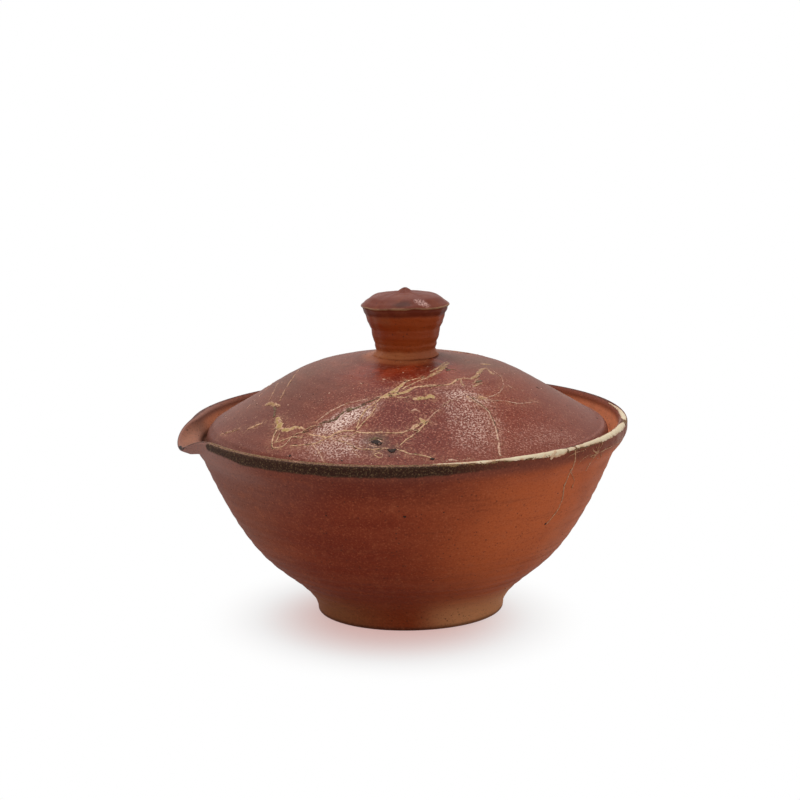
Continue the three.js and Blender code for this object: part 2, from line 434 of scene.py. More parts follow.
def build_fire_side():
    """How far round the pot a place is from one side: 1 on that side and -1 opposite."""
    tree, take = start_tree(
        "Fire Side",
        "ShaderNodeTree",
        {"Place": ("Vector", None), "Side": ("Vector", (1, 0, 0)), "Wander": ("Float", 0.25)},
        {"Towards": "Float"},
    )
    x, y, _ = split(take["Place"])
    outward = join(tree, x, y, 0.0).math("NORMALIZE")["Vector"]
    wander = (noise(tree, take["Place"], 30.0, 3.0) - 0.5) * take["Wander"] * 2
    towards_side = outward.math("DOT_PRODUCT", take["Side"])["Value"] + wander
    return end_tree(tree, Towards=towards_side)


clay_grain = build_clay_grain()
throwing_lines = build_throwing_lines()
soft_patch = build_soft_patch()
fire_side = build_fire_side()


# %% Mix and finish a material
def fired(red, green, blue):
    """A colour as it is read off a picture, from 0 to 255, turned to the light's own scale."""
    shares = [c / 255 for c in (red, green, blue)]
    return (*[c / 12.92 if c <= 0.04045 else ((c + 0.055) / 1.055) ** 2.4 for c in shares], 1)


def blend(share, under, over):
    """One colour with another laid over it where the share is 1."""
    tree = share.tree
    inputs = {"Factor": share, "A": under, "B": over}
    return add(tree, "ShaderNodeMix", inputs, data_type="RGBA")


def layered(colour, *layers):
    """A colour with others laid over it in turn, each given as its share and its own colour."""
    for share, over in layers:
        colour = blend(share, colour, over)
    return colour


def use(tree, group, **inputs):
    """Puts a shader group to use. An underscore in an input's name stands for a space."""
    node = tree.nodes.new("ShaderNodeGroup")
    node.node_tree = group
    for label, value in inputs.items():
        feed(node.inputs[label.replace("_", " ")], value)
    return Field(node.outputs[0])


def end_material(material, colour, height, roughness, depth, **sockets):
    """Closes a material: a colour, a height that the light feels, and the shader's own values."""
    tree = material.node_tree
    normal = add(tree, "ShaderNodeBump", {"Strength": 1.0, "Distance": depth, "Height": height})
    inputs = {
        "Base Color": colour,
        "Roughness": roughness,
        "Normal": normal,
        "Coat Normal": normal,
    }
    inputs.update({label.replace("_", " "): value for label, value in sockets.items()})
    surface = add(tree, "ShaderNodeBsdfPrincipled", inputs)
    feed(tree.nodes.new("ShaderNodeOutputMaterial").inputs["Surface"], surface)
    print(f"{material.name}: a material of {len(tree.nodes)} nodes")
    return material


def kept(tree, name):
    """A value that a geometry tree has kept on the mesh under a name."""
    return add(tree, "ShaderNodeAttribute", attribute_name=name)["Fac"]


# %% [markdown]
# ## The bowl's clay
#
# The front is a deep brown-red, the side away from the spout glows orange where the flame passed,
# and the spout side is browner. A dark olive band runs round the front of the lip, where reduction
# blackened the iron, and the crest above it is worn pale. On the right the band fades under cream
# ash, which a later step adds as a crust. Some light and shade is painted in: painted shade under
# the lip and in the corner behind the spout, painted light in the crease of the spout's fold and on
# the orange gallery wall, and a painted sheen on the upper left wall and by the spout.

# %% Fire the bowl
RIGHT_SIDE = (0.95, -0.31, 0.0)
FRONT_SIDE = (-0.17, -0.985, 0.0)
SPOUT_SIDE = (-1.0, 0.0, 0.0)
PICTURE_RIGHT = (0.985, -0.174, 0.0)
# two heights, or two ways along the section: a zone starts at the first and is full at the second
LOWER_WALL = mm(28, 10)
# painted shade: the top of the wall just under the overhanging lip is darkened
PAINTED_SHADE_UNDER_LIP = mm(36, 46)
MAUVE_AND_PAINTED_SHEEN_WALL = mm(26, 46)
FOOT = mm(11, 3)
SOLE = mm(1.5, 0.5)
PAINTED_SHEEN_WALL = mm(38, 49)
# painted shade: the corner behind the spout, in the slot between the lid's edge and the gallery
# wall
PAINTED_CORNER_SHADE = (LEDGE_HEIGHT + 1.8 * MM, LEDGE_HEIGHT + 0.7 * MM)
CUT_SIDE = mm(23.6, 22.6)
LIP_SIDE = mm(79.5, 83.5)
INNER_SIDE = mm(86.8, 89.6)
WELL_SIDE = mm(93, 97)
# four ways along the section: a band starts, is full, begins to fade and ends
PAINTED_LIGHT_FOLD_BAND = mm(86.4, 87.6, 90, 92)
THIN_LINE = mm(85.3, 85.8, 86.4, 87.0)
WORN_CREST = mm(85.3, 85.8, 87.0, 88.0)
# the dark band on the lip: its two edges along the section, and its two ends across the pot, where
# -1 and 1 are the outer sides
DARK_LOWER_EDGE = mm(81.5, 84.0)
DARK_UPPER_EDGE = mm(86.1, 85.1)
DARK_STARTS = (-0.9, -0.88)
DARK_FADES = (0.6, 0.12)
# the band is a wedge at both ends: its lower edge is lifted there by this much
DARK_LIFT = 1.0 * MM
DARK_LIFTED_LEFT = (-0.72, -0.82)
DARK_LIFTED_RIGHT = (0.0, 0.4)


def fire_bowl():
    material, tree, place = start_material("bowl_clay")
    along = kept(tree, "along")
    height = split(place)[2]
    grain = use(tree, clay_grain, Place=place)
    tooth, mottle = grain["Tooth"], grain["Mottle"]
    lines = use(tree, throwing_lines, Place=place, Along=along)
    right = use(tree, fire_side, Place=place, Side=RIGHT_SIDE)
    spout = use(tree, fire_side, Place=place, Side=SPOUT_SIDE, Wander=0.1)
    front = use(tree, fire_side, Place=place, Side=FRONT_SIDE, Wander=0.0)
    across = use(tree, fire_side, Place=place, Side=PICTURE_RIGHT, Wander=0.02)

    lower = height.smooth(*LOWER_WALL) * right.smooth(0.8, 0.1)
    # painted shade just under the overhanging lip
    upper = height.smooth(*PAINTED_SHADE_UNDER_LIP) * right.smooth(0.8, 0.2)
    # purple-grey on the upper left wall: the clay's own colour, with a painted sheen of the white
    # room on it
    mauve_and_painted_sheen = height.smooth(*MAUVE_AND_PAINTED_SHEEN_WALL) * right.smooth(-0.1, -0.75)
    foot = height.smooth(*FOOT)
    colour = layered(
        blend(right.smooth(-0.1, 0.9), fired(106, 37, 18), fired(168, 83, 43)),
        (right.smooth(0.86, 1.0) * 0.6, fired(172, 100, 66)),
        (right.smooth(-0.3, -0.95), fired(114, 60, 40)),
        (lower * 0.4, fired(112, 38, 12)),
        (upper * 0.8, fired(90, 34, 21)),
        (mauve_and_painted_sheen * 0.8, fired(112, 68, 57)),
        (lines["Broad"].smooth(0.42, 0.75) * 0.3, fired(142, 70, 42)),
        (lines.smooth(0.52, 0.72) * 0.25, fired(84, 34, 18)),
        (mottle.smooth(0.5, 0.8) * 0.4, fired(150, 80, 50)),
        (grain["Cloud"].smooth(0.5, 0.7) * 0.25, fired(96, 34, 20)),
        (foot * 0.55, fired(140, 60, 24)),
        (foot * right.smooth(0.1, -0.7) * 0.8, fired(134, 84, 50)),
        (foot * right.smooth(0.1, 0.75), fired(196, 136, 92)),
        (height.smooth(*SOLE) * 0.7, fired(66, 38, 26)),
        (along.smooth(*CUT_SIDE), fired(140, 88, 58)),
    )

    inside = along.smooth(*INNER_SIDE)
    # painted shade in the slot between the lid's edge and the gallery wall
    corner = height.smooth(*PAINTED_CORNER_SHADE) * spout.smooth(0.8, 0.93)
    well = along.smooth(*WELL_SIDE)
    # the gallery wall's bright orange is partly the clay and partly painted light for the glow
    # inside the shaded gallery
    inner = layered(
        blend(spout.smooth(0.9, 0.96), fired(206, 122, 84), fired(128, 84, 68)),
        (mottle.smooth(0.45, 0.62) * 0.2, fired(134, 88, 66)),
        (corner * 0.85, fired(64, 30, 14)),
        (well, fired(146, 80, 54)),
        (well * mottle.smooth(0.4, 0.8) * 0.35, fired(176, 108, 76)),
    )

    lip = along.smooth(*LIP_SIDE) - inside
    # painted sheen: pale mauve-grey high on the outer wall by the spout, where the white room
    # glances off
    painted_sheen_by_spout = height.smooth(*PAINTED_SHEEN_WALL) * spout.smooth(0.7, 0.96) * (1 - inside)
    # painted light: the crease of the spout's fold is lightened against its shade
    painted_light_in_fold = along.band(*PAINTED_LIGHT_FOLD_BAND) * spout.smooth(0.55, 0.8)
    ashen = lip * right.smooth(0.9, 0.99) * mottle.smooth(0.3, 0.6)
    thin_line = along.band(*THIN_LINE) * mottle.smooth(0.3, 0.5)
    colour = layered(
        colour,
        (inside, inner),
        (lip * 0.9, fired(102, 52, 40)),
        (painted_sheen_by_spout * 0.75, fired(134, 100, 92)),
        (painted_light_in_fold * 0.3, fired(164, 112, 88)),
        (ashen * 0.5, fired(166, 136, 122)),
        (thin_line * 0.7, fired(50, 30, 24)),
    )

    lifted = across.smooth(*DARK_LIFTED_LEFT) + across.smooth(*DARK_LIFTED_RIGHT)
    wedge = along - lifted * DARK_LIFT
    dark = wedge.smooth(*DARK_LOWER_EDGE) * along.smooth(*DARK_UPPER_EDGE)
    started = front.smooth(0.1, 0.3) * across.smooth(*DARK_STARTS)
    fading = across.smooth(*DARK_FADES)
    ragged = noise(tree, place, 240.0, 4.0, 0.6)
    burnt = (dark * started * 1.5 + ragged - 0.75).smooth(0.05, 0.7) * fading
    grainy = noise(tree, place, 2400.0, 3.0, 0.7)
    worn = along.band(*WORN_CREST) * started * fading * (grainy.smooth(0.4, 0.62) * 0.6 + 0.2)
    colour = layered(
        colour,
        (burnt * 0.95, fired(38, 20, 11)),
        (burnt * grainy.smooth(0.5, 0.68) * 0.65, fired(112, 90, 62)),
        (worn, fired(160, 122, 96)),
        (tooth.smooth(0.52, 0.75) * (1 - burnt * 0.8) * 0.35, fired(170, 96, 64)),
        (tooth.smooth(0.48, 0.28) * 0.35, fired(66, 24, 12)),
        (grain * 0.6, fired(52, 26, 18)),
    )
    relief = lines * 0.5 + mottle * 0.5 - grain * 0.6 + grain["Pits"] * 0.25
    rough = 0.62 + lines["Broad"] * 0.1
    return end_material(material, colour, relief, rough, 0.08 * MM, Specular_IOR_Level=0.1)


bowl_clay = fire_bowl()

# %% [markdown]
# ## The lid's clay
#
# The lid caught more ash. Its skin is a purple brown with a satin shine, finely pitted like the
# peel of an orange. Below the knob a flame licked it orange-red, smoke greyed it beside the knob,
# and a painted sheen greys its far slopes. Some patches carry a thin glassy film, so that every pit
# in them glints; those glints are painted in as a lighter sheen and pale pink spots, with painted
# shade in the pits between them. The patches lie where the picture shows them. Dust of ash lies in
# a halo round the cord marks, which a later step measures and keeps on the mesh, and a ring of it
# lies where the knob is luted on. No flame or ash reached the underside, which stays bare and even.

# %% Fire the lid
FLASH_PATCHES = [
    # centre x and y in millimetres, half length, half width, slant in degrees, strength
    (-5, -15, 11, 9, -10, 0.9),
    (3, -12, 7, 6, 20, 1.0),
    (-4, -19, 8, 7, 0, 1.0),
]
WET_PATCHES = [(-1, -36, 36, 15, 0, 1.0)]
DEEP_RED_PATCHES = [(-5, -33, 11, 14, 0, 1.0), (-9, -42, 13, 6, 0, 0.9), (-4, -19, 6, 4, 0, 0.85)]
GLINT_PATCHES = [
    (-21.3, -30.6, 7.4, 2.6, 8, 0.86),
    (-25, -37.6, 9, 4.2, -28, 0.46),
    (10, -37, 7, 9, 5, 0.42),
    (9.6, -29, 6.4, 2.4, -5, 0.6),
    (28, -37, 12, 4, 30, 0.22),
    (9.5, -25, 6, 2, 8, 0.3),
]
# grey-brown: smoke beside the knob, and a painted sheen of the room on the far slopes
SMOKED_AND_PAINTED_SHEEN_PATCHES = [(17, -3, 13, 8, 10, 0.6), (33, 4, 14, 12, 0, 0.4), (-30, 8, 14, 16, 0, 0.25)]
KNOB_SEAM = mm(13, 9.5)
LID_UNDERSIDE = mm(57.2, 56.4)
SCORCHED_PATCHES = [(-15, -40.8, 3, 3.4, 0, 1.0), (-11.8, -44.6, 1.8, 1.6, 0, 0.8)]


def patches(tree, place, rows, **inputs):
    """The strongest of several soft patches."""
    mask = None
    for x, y, length, width, slant, strength in rows:
        inputs.update(Centre=mm(x, y, 0), Half_Length=length * MM, Half_Width=width * MM)
        patch = use(tree, soft_patch, Place=place, Slant=math.radians(slant), **inputs) * strength
        mask = patch if mask is None else mask.math("MAXIMUM", patch)
    return mask


def fire_lid():
    material, tree, place = start_material("lid_clay")
    grain = use(tree, clay_grain, Place=place, Speck_Spacing=1.0 * MM, Tooth_Size=0.46 * MM)
    tooth, mottle = grain["Tooth"], grain["Mottle"]
    feldspar = use(tree, clay_grain, Place=place * (-1.0, 1.0, 1.0), Speck_Spacing=0.7 * MM)
    along = kept(tree, "along")
    under = along.smooth(*LID_UNDERSIDE)
    lines = use(tree, throwing_lines, Place=place, Along=along)
    right = use(tree, fire_side, Place=place, Side=RIGHT_SIDE)
    wet = patches(tree, place, WET_PATCHES, Raggedness=0.35, Softness=0.7)
    glint = patches(tree, place, GLINT_PATCHES, Raggedness=0.7, Softness=0.75) * (1 - under)
    deep_red = patches(tree, place, DEEP_RED_PATCHES, Raggedness=0.4, Softness=0.7)
    scorch_and_painted_edge_shade = patches(tree, place, SCORCHED_PATCHES, Raggedness=0.6, Softness=0.7)
    flash = patches(tree, place, FLASH_PATCHES, Raggedness=0.4, Softness=0.6)
    smoked_and_painted_sheen = patches(tree, place, SMOKED_AND_PAINTED_SHEEN_PATCHES, Raggedness=0.3, Softness=0.8)
    deep = noise(tree, place, 150.0, 4.0, 0.65).smooth(0.4, 0.6)
    x, y, _ = split(place)
    seam = join(tree, x, y, 0.0).math("LENGTH")["Value"].smooth(*KNOB_SEAM)
    seam = seam * right.smooth(0.97, 0.5) * (mottle * 0.8 + 0.4)
    # spots in the glassy patches: they take the glassy coat and are painted pale pink as glints
    glassy_and_painted_glint_spots = (tooth + glint * 0.1).smooth(0.5, 0.66)
    # painted shade in the pits between the glints
    painted_shade_in_pits = tooth.smooth(0.47, 0.36) * glint.smooth(0.0, 0.6)
    dust = kept(tree, "dust")
    fine = noise(tree, place, 1300.0, 4.0, 0.7).smooth(0.46, 0.7)
    bare = blend(mottle.smooth(0.4, 0.8) * 0.5, fired(118, 62, 44), fired(146, 86, 62))
    colour = layered(
        blend(right.smooth(-0.8, 0.9), fired(99, 53, 41), fired(112, 58, 44)),
        (lines["Broad"].smooth(0.4, 0.7) * 0.3, fired(140, 76, 58)),
        (smoked_and_painted_sheen, fired(100, 76, 60)),
        (flash * 0.95, fired(140, 45, 8)),
        (flash * deep * 0.85, fired(78, 19, 4)),
        (mottle.smooth(0.45, 0.8) * 0.3, fired(146, 86, 68)),
        (grain["Cloud"].smooth(0.48, 0.7) * 0.35, fired(98, 44, 34)),
        (wet * 0.72, fired(118, 39, 14)),
        (deep_red * 0.82, fired(92, 19, 4)),
        (seam * 0.8, fired(176, 100, 60)),
        (tooth.smooth(0.52, 0.72) * (wet * 0.45 + 0.16), fired(186, 124, 100)),
        (tooth.smooth(0.48, 0.3) * (wet * 0.4 + 0.2), fired(58, 22, 16)),
        # painted highlight: a lighter sheen over the glassy patches and pale pink glints on their
        # spots
        (glint * 0.5, fired(150, 98, 82)),
        (glint.smooth(0.0, 0.7) * glassy_and_painted_glint_spots * 0.75, fired(212, 180, 164)),
        (painted_shade_in_pits * 0.6, fired(78, 38, 30)),
        (scorch_and_painted_edge_shade * 0.6, fired(74, 54, 40)),
        (dust * fine * 0.75, fired(176, 130, 98)),
        (under, bare),
        (feldspar * 0.6, fired(196, 150, 118)),
        (grain * 0.7, fired(50, 26, 20)),
    )
    peel = tooth * (glint * 0.7 + wet * 0.5 + 0.3)
    relief = peel + grain["Pits"] * 0.2 + lines * 0.3 + mottle * 0.3
    rough = 0.54 - glint * glassy_and_painted_glint_spots * 0.2 - flash * 0.2
    shine = {"Coat_Weight": glint * glassy_and_painted_glint_spots * 0.7, "Coat_Roughness": 0.2}
    return end_material(
        material, colour, relief, rough, 0.12 * MM, Specular_IOR_Level=0.15, **shine
    )


lid_clay = fire_lid()

# %% [markdown]
# ## The knob's clay
#
# The knob is the same clay, orange-brown where the flame reached its waist, darker and violet just
# under its edge, and with a thin tan line of ash along the edge itself. Its top is greyer, because
# ash fell on it, and it carries one small glassy spot, whose glint is painted in as pale pink
# specks. A small hollow in its top is darkened with painted shade.

# %% Fire the knob
KNOB_GLINT = [(2.6, -9.3, 1.6, 0.9, 0, 0.9)]
KNOB_HOLLOW_SHADE_PATCH = [(-2.6, -9.7, 2.3, 0.8, -10, 1.0)]
# heights above the crown of the lid
KNOB_FOOT_ZONE = mm(5.5, 2.5)
LUTED_ZONE = mm(2.6, 0.9)
# along the section: the darker band under the collar, and the thin line of ash on the edge
COLLAR = mm(19.6, 20.6)
EDGE_LINE = mm(22.3, 22.5, 22.9, 23.2)
COLLAR_WANDER = 0.9 * MM
LUTED_WANDER = 1.6 * MM


def fire_knob():
    material, tree, place = start_material("knob_clay")
    grain = use(tree, clay_grain, Place=place)
    tooth, mottle = grain["Tooth"], grain["Mottle"]
    along = kept(tree, "along")
    lines = use(tree, throwing_lines, Place=place, Along=along, Pitch=0.9 * MM)
    right = use(tree, fire_side, Place=place, Side=RIGHT_SIDE)
    height = split(place)[2] - CROWN_HEIGHT
    wave = noise(tree, place, 240.0, 2.0) - 0.5
    browned = noise(tree, place, 170.0, 3.0, 0.6).smooth(0.42, 0.62) * right.smooth(0.5, -0.4)
    luted = (height + wave * LUTED_WANDER).smooth(*LUTED_ZONE) * (mottle * 0.8 + 0.3)
    upper = along + wave * COLLAR_WANDER
    top = upper.smooth(*EDGE_LINE[1:3])
    edge = upper.band(*EDGE_LINE) * (mottle.smooth(0.35, 0.55) * 0.6 + 0.3)
    # painted shade in the small hollow on the knob's top
    painted_shade_in_hollow = patches(tree, place, KNOB_HOLLOW_SHADE_PATCH, Raggedness=0.3, Softness=0.6) * top
    glint = patches(tree, place, KNOB_GLINT, Raggedness=0.7, Softness=0.6) * top
    colour = layered(
        blend(right.smooth(-0.9, 0.9), fired(124, 44, 11), fired(136, 56, 20)),
        (lines["Broad"].smooth(0.42, 0.7) * 0.3, fired(150, 68, 24)),
        (browned * 0.45, fired(126, 66, 36)),
        (height.smooth(*KNOB_FOOT_ZONE) * 0.4, fired(146, 66, 24)),
        (upper.smooth(*COLLAR) * 0.9, fired(92, 36, 22)),
        (luted, fired(170, 101, 60)),
        (luted * right.smooth(-0.1, 0.7) * 0.6, fired(128, 60, 40)),
        (top, fired(101, 46, 32)),
        (painted_shade_in_hollow * 0.8, fired(66, 28, 17)),
        (edge, fired(142, 108, 78)),
        (mottle.smooth(0.45, 0.8) * 0.25, fired(150, 86, 52)),
        (tooth.smooth(0.46, 0.28) * 0.3, fired(70, 26, 12)),
        (grain * 0.7, fired(50, 26, 20)),
        # painted highlight: pale pink specks for the glint of the glassy spot
        (glint * tooth.smooth(0.46, 0.6) * 0.7, fired(212, 164, 152)),
    )
    relief = lines * 0.5 + mottle * 0.4 + grain["Pits"] * (glint + 0.25)
    shine = {"Coat_Weight": glint * 0.8, "Coat_Roughness": 0.15}
    return end_material(
        material, colour, relief, 0.48, 0.08 * MM, Specular_IOR_Level=0.11, **shine
    )


knob_clay = fire_knob()

# %% [markdown]
# ## Geometry Nodes on a piece
#
# Every tree below is used the same way: it is put on an object as a modifier, its named inputs are
# set, and the evaluated result is kept as a plain mesh at the end. A modifier's input is reached by
# the socket's identifier, which the tree's interface lists beside its name.


# %% Run a tree on an object, and keep its result
def grow(piece, tree, **inputs):
    """Puts a geometry node tree on a piece. An underscore in an input's name stands for a space."""
    modifier = piece.modifiers.new(tree.name, "NODES")
    modifier.node_group = tree
    sockets = {s.name: s.identifier for s in tree.interface.items_tree if s.in_out == "INPUT"}
    for label, value in inputs.items():
        modifier[sockets[label.replace("_", " ")]] = value
    return piece


def settle(name, piece, keep=()):
    """A plain mesh object of what the modifiers make of a piece, which it takes the place of."""
    evaluated = piece.evaluated_get(bpy.context.evaluated_depsgraph_get())
    mesh = bpy.data.meshes.new_from_object(evaluated)
    bpy.data.objects.remove(piece)
    for attribute in list(mesh.attributes):
        if not attribute.is_required and not attribute.is_internal and attribute.name not in keep:
            mesh.attributes.remove(attribute)
    clay = mesh.materials[-1]
    mesh.materials.clear()
    mesh.materials.append(clay)
    mesh.polygons.foreach_set("material_index", [0] * len(mesh.polygons))
    mesh.shade_smooth()
    mesh.name = name
    print(f"{name}: {sum(len(p.vertices) - 2 for p in mesh.polygons)} triangles")
    return new_object(name, mesh)


# %% [markdown]
# ## Sections
#
# Everything thrown on a wheel is a section turned round an axis. A section here is a list of runs,
# from the axis underneath, out, over the top and back to the axis. Each run says how strongly the
# marks of throwing show on it: fully on a wall, and not at all on the ledge and the seat, which the
# potter trims true so that the lid closes.


# %% Draw a section
SAME_POINT = 0.01 * MM


def at(radius, height):
    return Vector((radius, 0, height))


def towards(degrees):
    return Vector((math.cos(math.radians(degrees)), 0, math.sin(math.radians(degrees))))


def sweep(start, end, angles, pull_shares, steps):
    """A smooth run that leaves and arrives at angles above the horizontal, in degrees."""
    reach = (end - start).length
    pulled = start + towards(angles[0]) * reach * pull_shares[0]
    pushed = end - towards(angles[1]) * reach * pull_shares[1]
    points = []
    for i in range(steps + 1):
        t = i / steps
        s = 1 - t
        points.append(start * s**3 + pulled * 3 * s * s * t + pushed * 3 * s * t * t + end * t**3)
    return points


def bend(centre, radius, start_angle, end_angle, steps):
    """A round run about a centre, between two angles in degrees."""
    turns = [start_angle + (end_angle - start_angle) * i / steps for i in range(steps + 1)]
    return [centre + towards(turn) * radius for turn in turns]


def straight(start, end, steps):
    return [start.lerp(end, i / steps) for i in range(steps + 1)]


def beside(points, start_gap, end_gap):
    """Points beside a run, on its left, with the gap going evenly from one value to another."""
    shifted = []
    for i, point in enumerate(points):
        ahead = points[min(i + 1, len(points) - 1)] - points[max(i - 1, 0)]
        gap = start_gap + (end_gap - start_gap) * i / (len(points) - 1)
        shifted.append(point + Vector((-ahead.z, 0, ahead.x)).normalized() * gap)
    return shifted


def section(name, runs, pulled_runs=None):
    """A line of points with what the wheel needs to know: the way along, the throwing share, and
    how far each point moves where the form is pulled thin."""
    points, shares, pulls, starts = [], [], [], []
    for (run, share), (pulled_run, _) in zip(runs, pulled_runs or runs):
        starts.append(len(points))
        for point, pulled in zip(run, pulled_run):
            if not points or (point - points[-1]).length > SAME_POINT:
                points.append(point)
                shares.append(share)
                pulls.extend(pulled - point)
    mesh = bpy.data.meshes.new(name)
    mesh.from_pydata(points, [(i, i + 1) for i in range(len(points) - 1)], [])
    ways = np.cumsum([0] + [(b - a).length for a, b in zip(points, points[1:])])
    mesh.attributes.new("along", "FLOAT", "POINT").data.foreach_set("value", ways)
    mesh.attributes.new("share", "FLOAT", "POINT").data.foreach_set("value", shares)
    mesh.attributes.new("pull", "FLOAT_VECTOR", "POINT").data.foreach_set("vector", pulls)
    marks = ", ".join(f"{ways[max(i - 1, 0)] / MM:.1f}" for i in starts)
    print(f"{name}: {len(points)} points, runs start at {marks} mm along")
    return new_object(name, mesh)


# %% [markdown]
# ## The wheel
#
# A screw modifier could turn the section, but it would leave a perfect machine-made form. This tree
# bends a flat grid round the axis instead: a column of the grid is one copy of the section. Then
# the surface is moved along its normal by a helical ripple and by noise that is stretched round the
# pot, as fingers leave it, and the whole form is pushed a little out of true. The columns can crowd
# towards the spout, where the shape needs them.


# %% Build the wheel's tree
SEAM_GAP = 0.002 * MM


def named(tree, name, sort="FLOAT"):
    return add(tree, "GeometryNodeInputNamedAttribute", {"Name": name}, data_type=sort)


def store(geometry, name, value, sort="FLOAT"):
    """Keeps a field on the points of a geometry under a name."""
    inputs = {"Geometry": geometry, "Name": name, "Value": value}
    return add(geometry.tree, "GeometryNodeStoreNamedAttribute", inputs, data_type=sort)


def move(geometry, **where):
    """Sets the Position of points, or moves them by an Offset, for a Selection or all."""
    return add(geometry.tree, "GeometryNodeSetPosition", {"Geometry": geometry, **where})


def clad(geometry, material):
    """Gives a geometry its material."""
    inputs = {"Geometry": geometry, "Material": material}
    return add(geometry.tree, "GeometryNodeSetMaterial", inputs)


def outwards(tree, turn):
    """The way out from the axis, at an angle that is counted from the spout's side."""
    return join(tree, turn.math("COSINE") * -1, turn.math("SINE"), 0.0)


def build_wheel():
    tree, take = start_tree(
        "Thrown Form",
        "GeometryNodeTree",
        {
            "Section": ("Geometry", None),
            "Columns": ("Int", 240),
            "Crowding": ("Float", 0.0),
            "Ring Depth": ("Float", 0.1 * MM),
            "Ring Pitch": ("Float", 3.0 * MM),
            "Streak Depth": ("Float", 0.1 * MM),
            "Wobble": ("Float", 0.2 * MM),
            "Wobble Count": ("Float", 0.7),
            "Lean": ("Vector", (0, 0, 0)),
            "Seed": ("Float", 0.0),
            "Clay": ("Material", None),
        },
        {"Thrown": "Geometry"},
    )
    rows = add(tree, "GeometryNodeAttributeDomainSize", {"Geometry": take["Section"]})
    inputs = {
        "Size X": 1,
        "Size Y": 1,
        "Vertices X": take["Columns"],
        "Vertices Y": rows["Point Count"],
    }
    grid = add(tree, "GeometryNodeMeshGrid", inputs)
    # across the grid a point finds its angle, and up the grid its place on the section
    across, up, _ = split(add(tree, "GeometryNodeInputPosition"))
    turn = (across + 0.5) * math.tau
    turn = turn - turn.math("SINE") * take["Crowding"]
    row = ((up + 0.5) * (rows["Point Count"] - 1)).math("ROUND")

    def on_section(value, sort):
        inputs = {"Geometry": take["Section"], "Value": value, "Index": row}
        return add(tree, "GeometryNodeSampleIndex", inputs, data_type=sort)

    own_place = add(tree, "GeometryNodeInputPosition")
    radius, _, height = split(on_section(own_place, "FLOAT_VECTOR"))
    outward = outwards(tree, turn)
    pull = on_section(named(tree, "pull", "FLOAT_VECTOR"), "FLOAT_VECTOR")
    pull_out, _, pull_up = split(pull)
    mesh = store(grid, "along", on_section(named(tree, "along"), "FLOAT"))
    mesh = store(mesh, "share", on_section(named(tree, "share"), "FLOAT"))
    mesh = store(mesh, "pull", outward * pull_out + join(tree, 0.0, 0.0, pull_up), "FLOAT_VECTOR")
    mesh = move(mesh, Position=outward * radius + join(tree, 0.0, 0.0, height))
    mesh = add(tree, "GeometryNodeMergeByDistance", {"Geometry": mesh, "Distance": SEAM_GAP})
    mesh = add(tree, "GeometryNodeFlipFaces", {"Mesh": mesh})

    # from here on the form stands, and the marks of throwing are pushed into it
    along, share = named(tree, "along"), named(tree, "share")
    x, y, _ = split(own_place)
    turn = y.math("ARCTAN2", x)
    ring = (along / take["Ring Pitch"] * math.tau + turn).math("SINE")
    round_the_pot = join(tree, turn.math("COSINE"), turn.math("SINE"), along * 900)
    streak = noise(tree, round_the_pot + take["Seed"], 1.0, 4.0) - 0.5
    fading = noise(tree, round_the_pot * (1.3, 1.3, 0.1), 1.0)
    depth = ring * fading * take["Ring Depth"] + streak * take["Streak Depth"] * 2
    normal = add(tree, "GeometryNodeInputNormal")
    mesh = move(mesh, Offset=normal * (depth * share))
    slow_place = round_the_pot * (1.0, 1.0, 0.03) * take["Wobble Count"] + take["Seed"]
    slow = noise(tree, slow_place, 1.0, 1.0)["Color"]
    push = (slow - (0.5, 0.5, 0.5)) * (1.0, 1.0, 0.5) * (share * take["Wobble"] * 2)
    tilt = own_place.math("DOT_PRODUCT", take["Lean"])["Value"] * share
    mesh = move(mesh, Offset=push + join(tree, 0.0, 0.0, tilt))
    return end_tree(tree, Thrown=clad(mesh, take["Clay"]))


wheel = build_wheel()

# %% [markdown]
# ## The bowl
#
# The bowl's section runs from the flat base over the foot and the full belly to a crease, where the
# lip flares out. Inside the lip lies the gallery with the ledge for the lid, and the inner wall
# follows the outer one at the thickness of the clay.

# %% Throw the bowl
BASE_RADIUS = 24.2 * MM
BASE_ROUND = 0.9 * MM
FOOT_TOP = at(25.9 * MM, 5 * MM)
WALL_AT_FOOT = 4.8 * MM
WALL_AT_LEDGE = 3.6 * MM
FLOOR_THICKNESS = 6 * MM
COLLAR_DEPTH = 8 * MM
COLLAR_FLARE = 3.6 * MM
CREST_RADIUS = 1.2 * MM
PULLED_CREST_RADIUS = 0.55 * MM
GALLERY_RADIUS = RIM_RADIUS - 4 * MM
LEDGE_WIDTH = 3.4 * MM


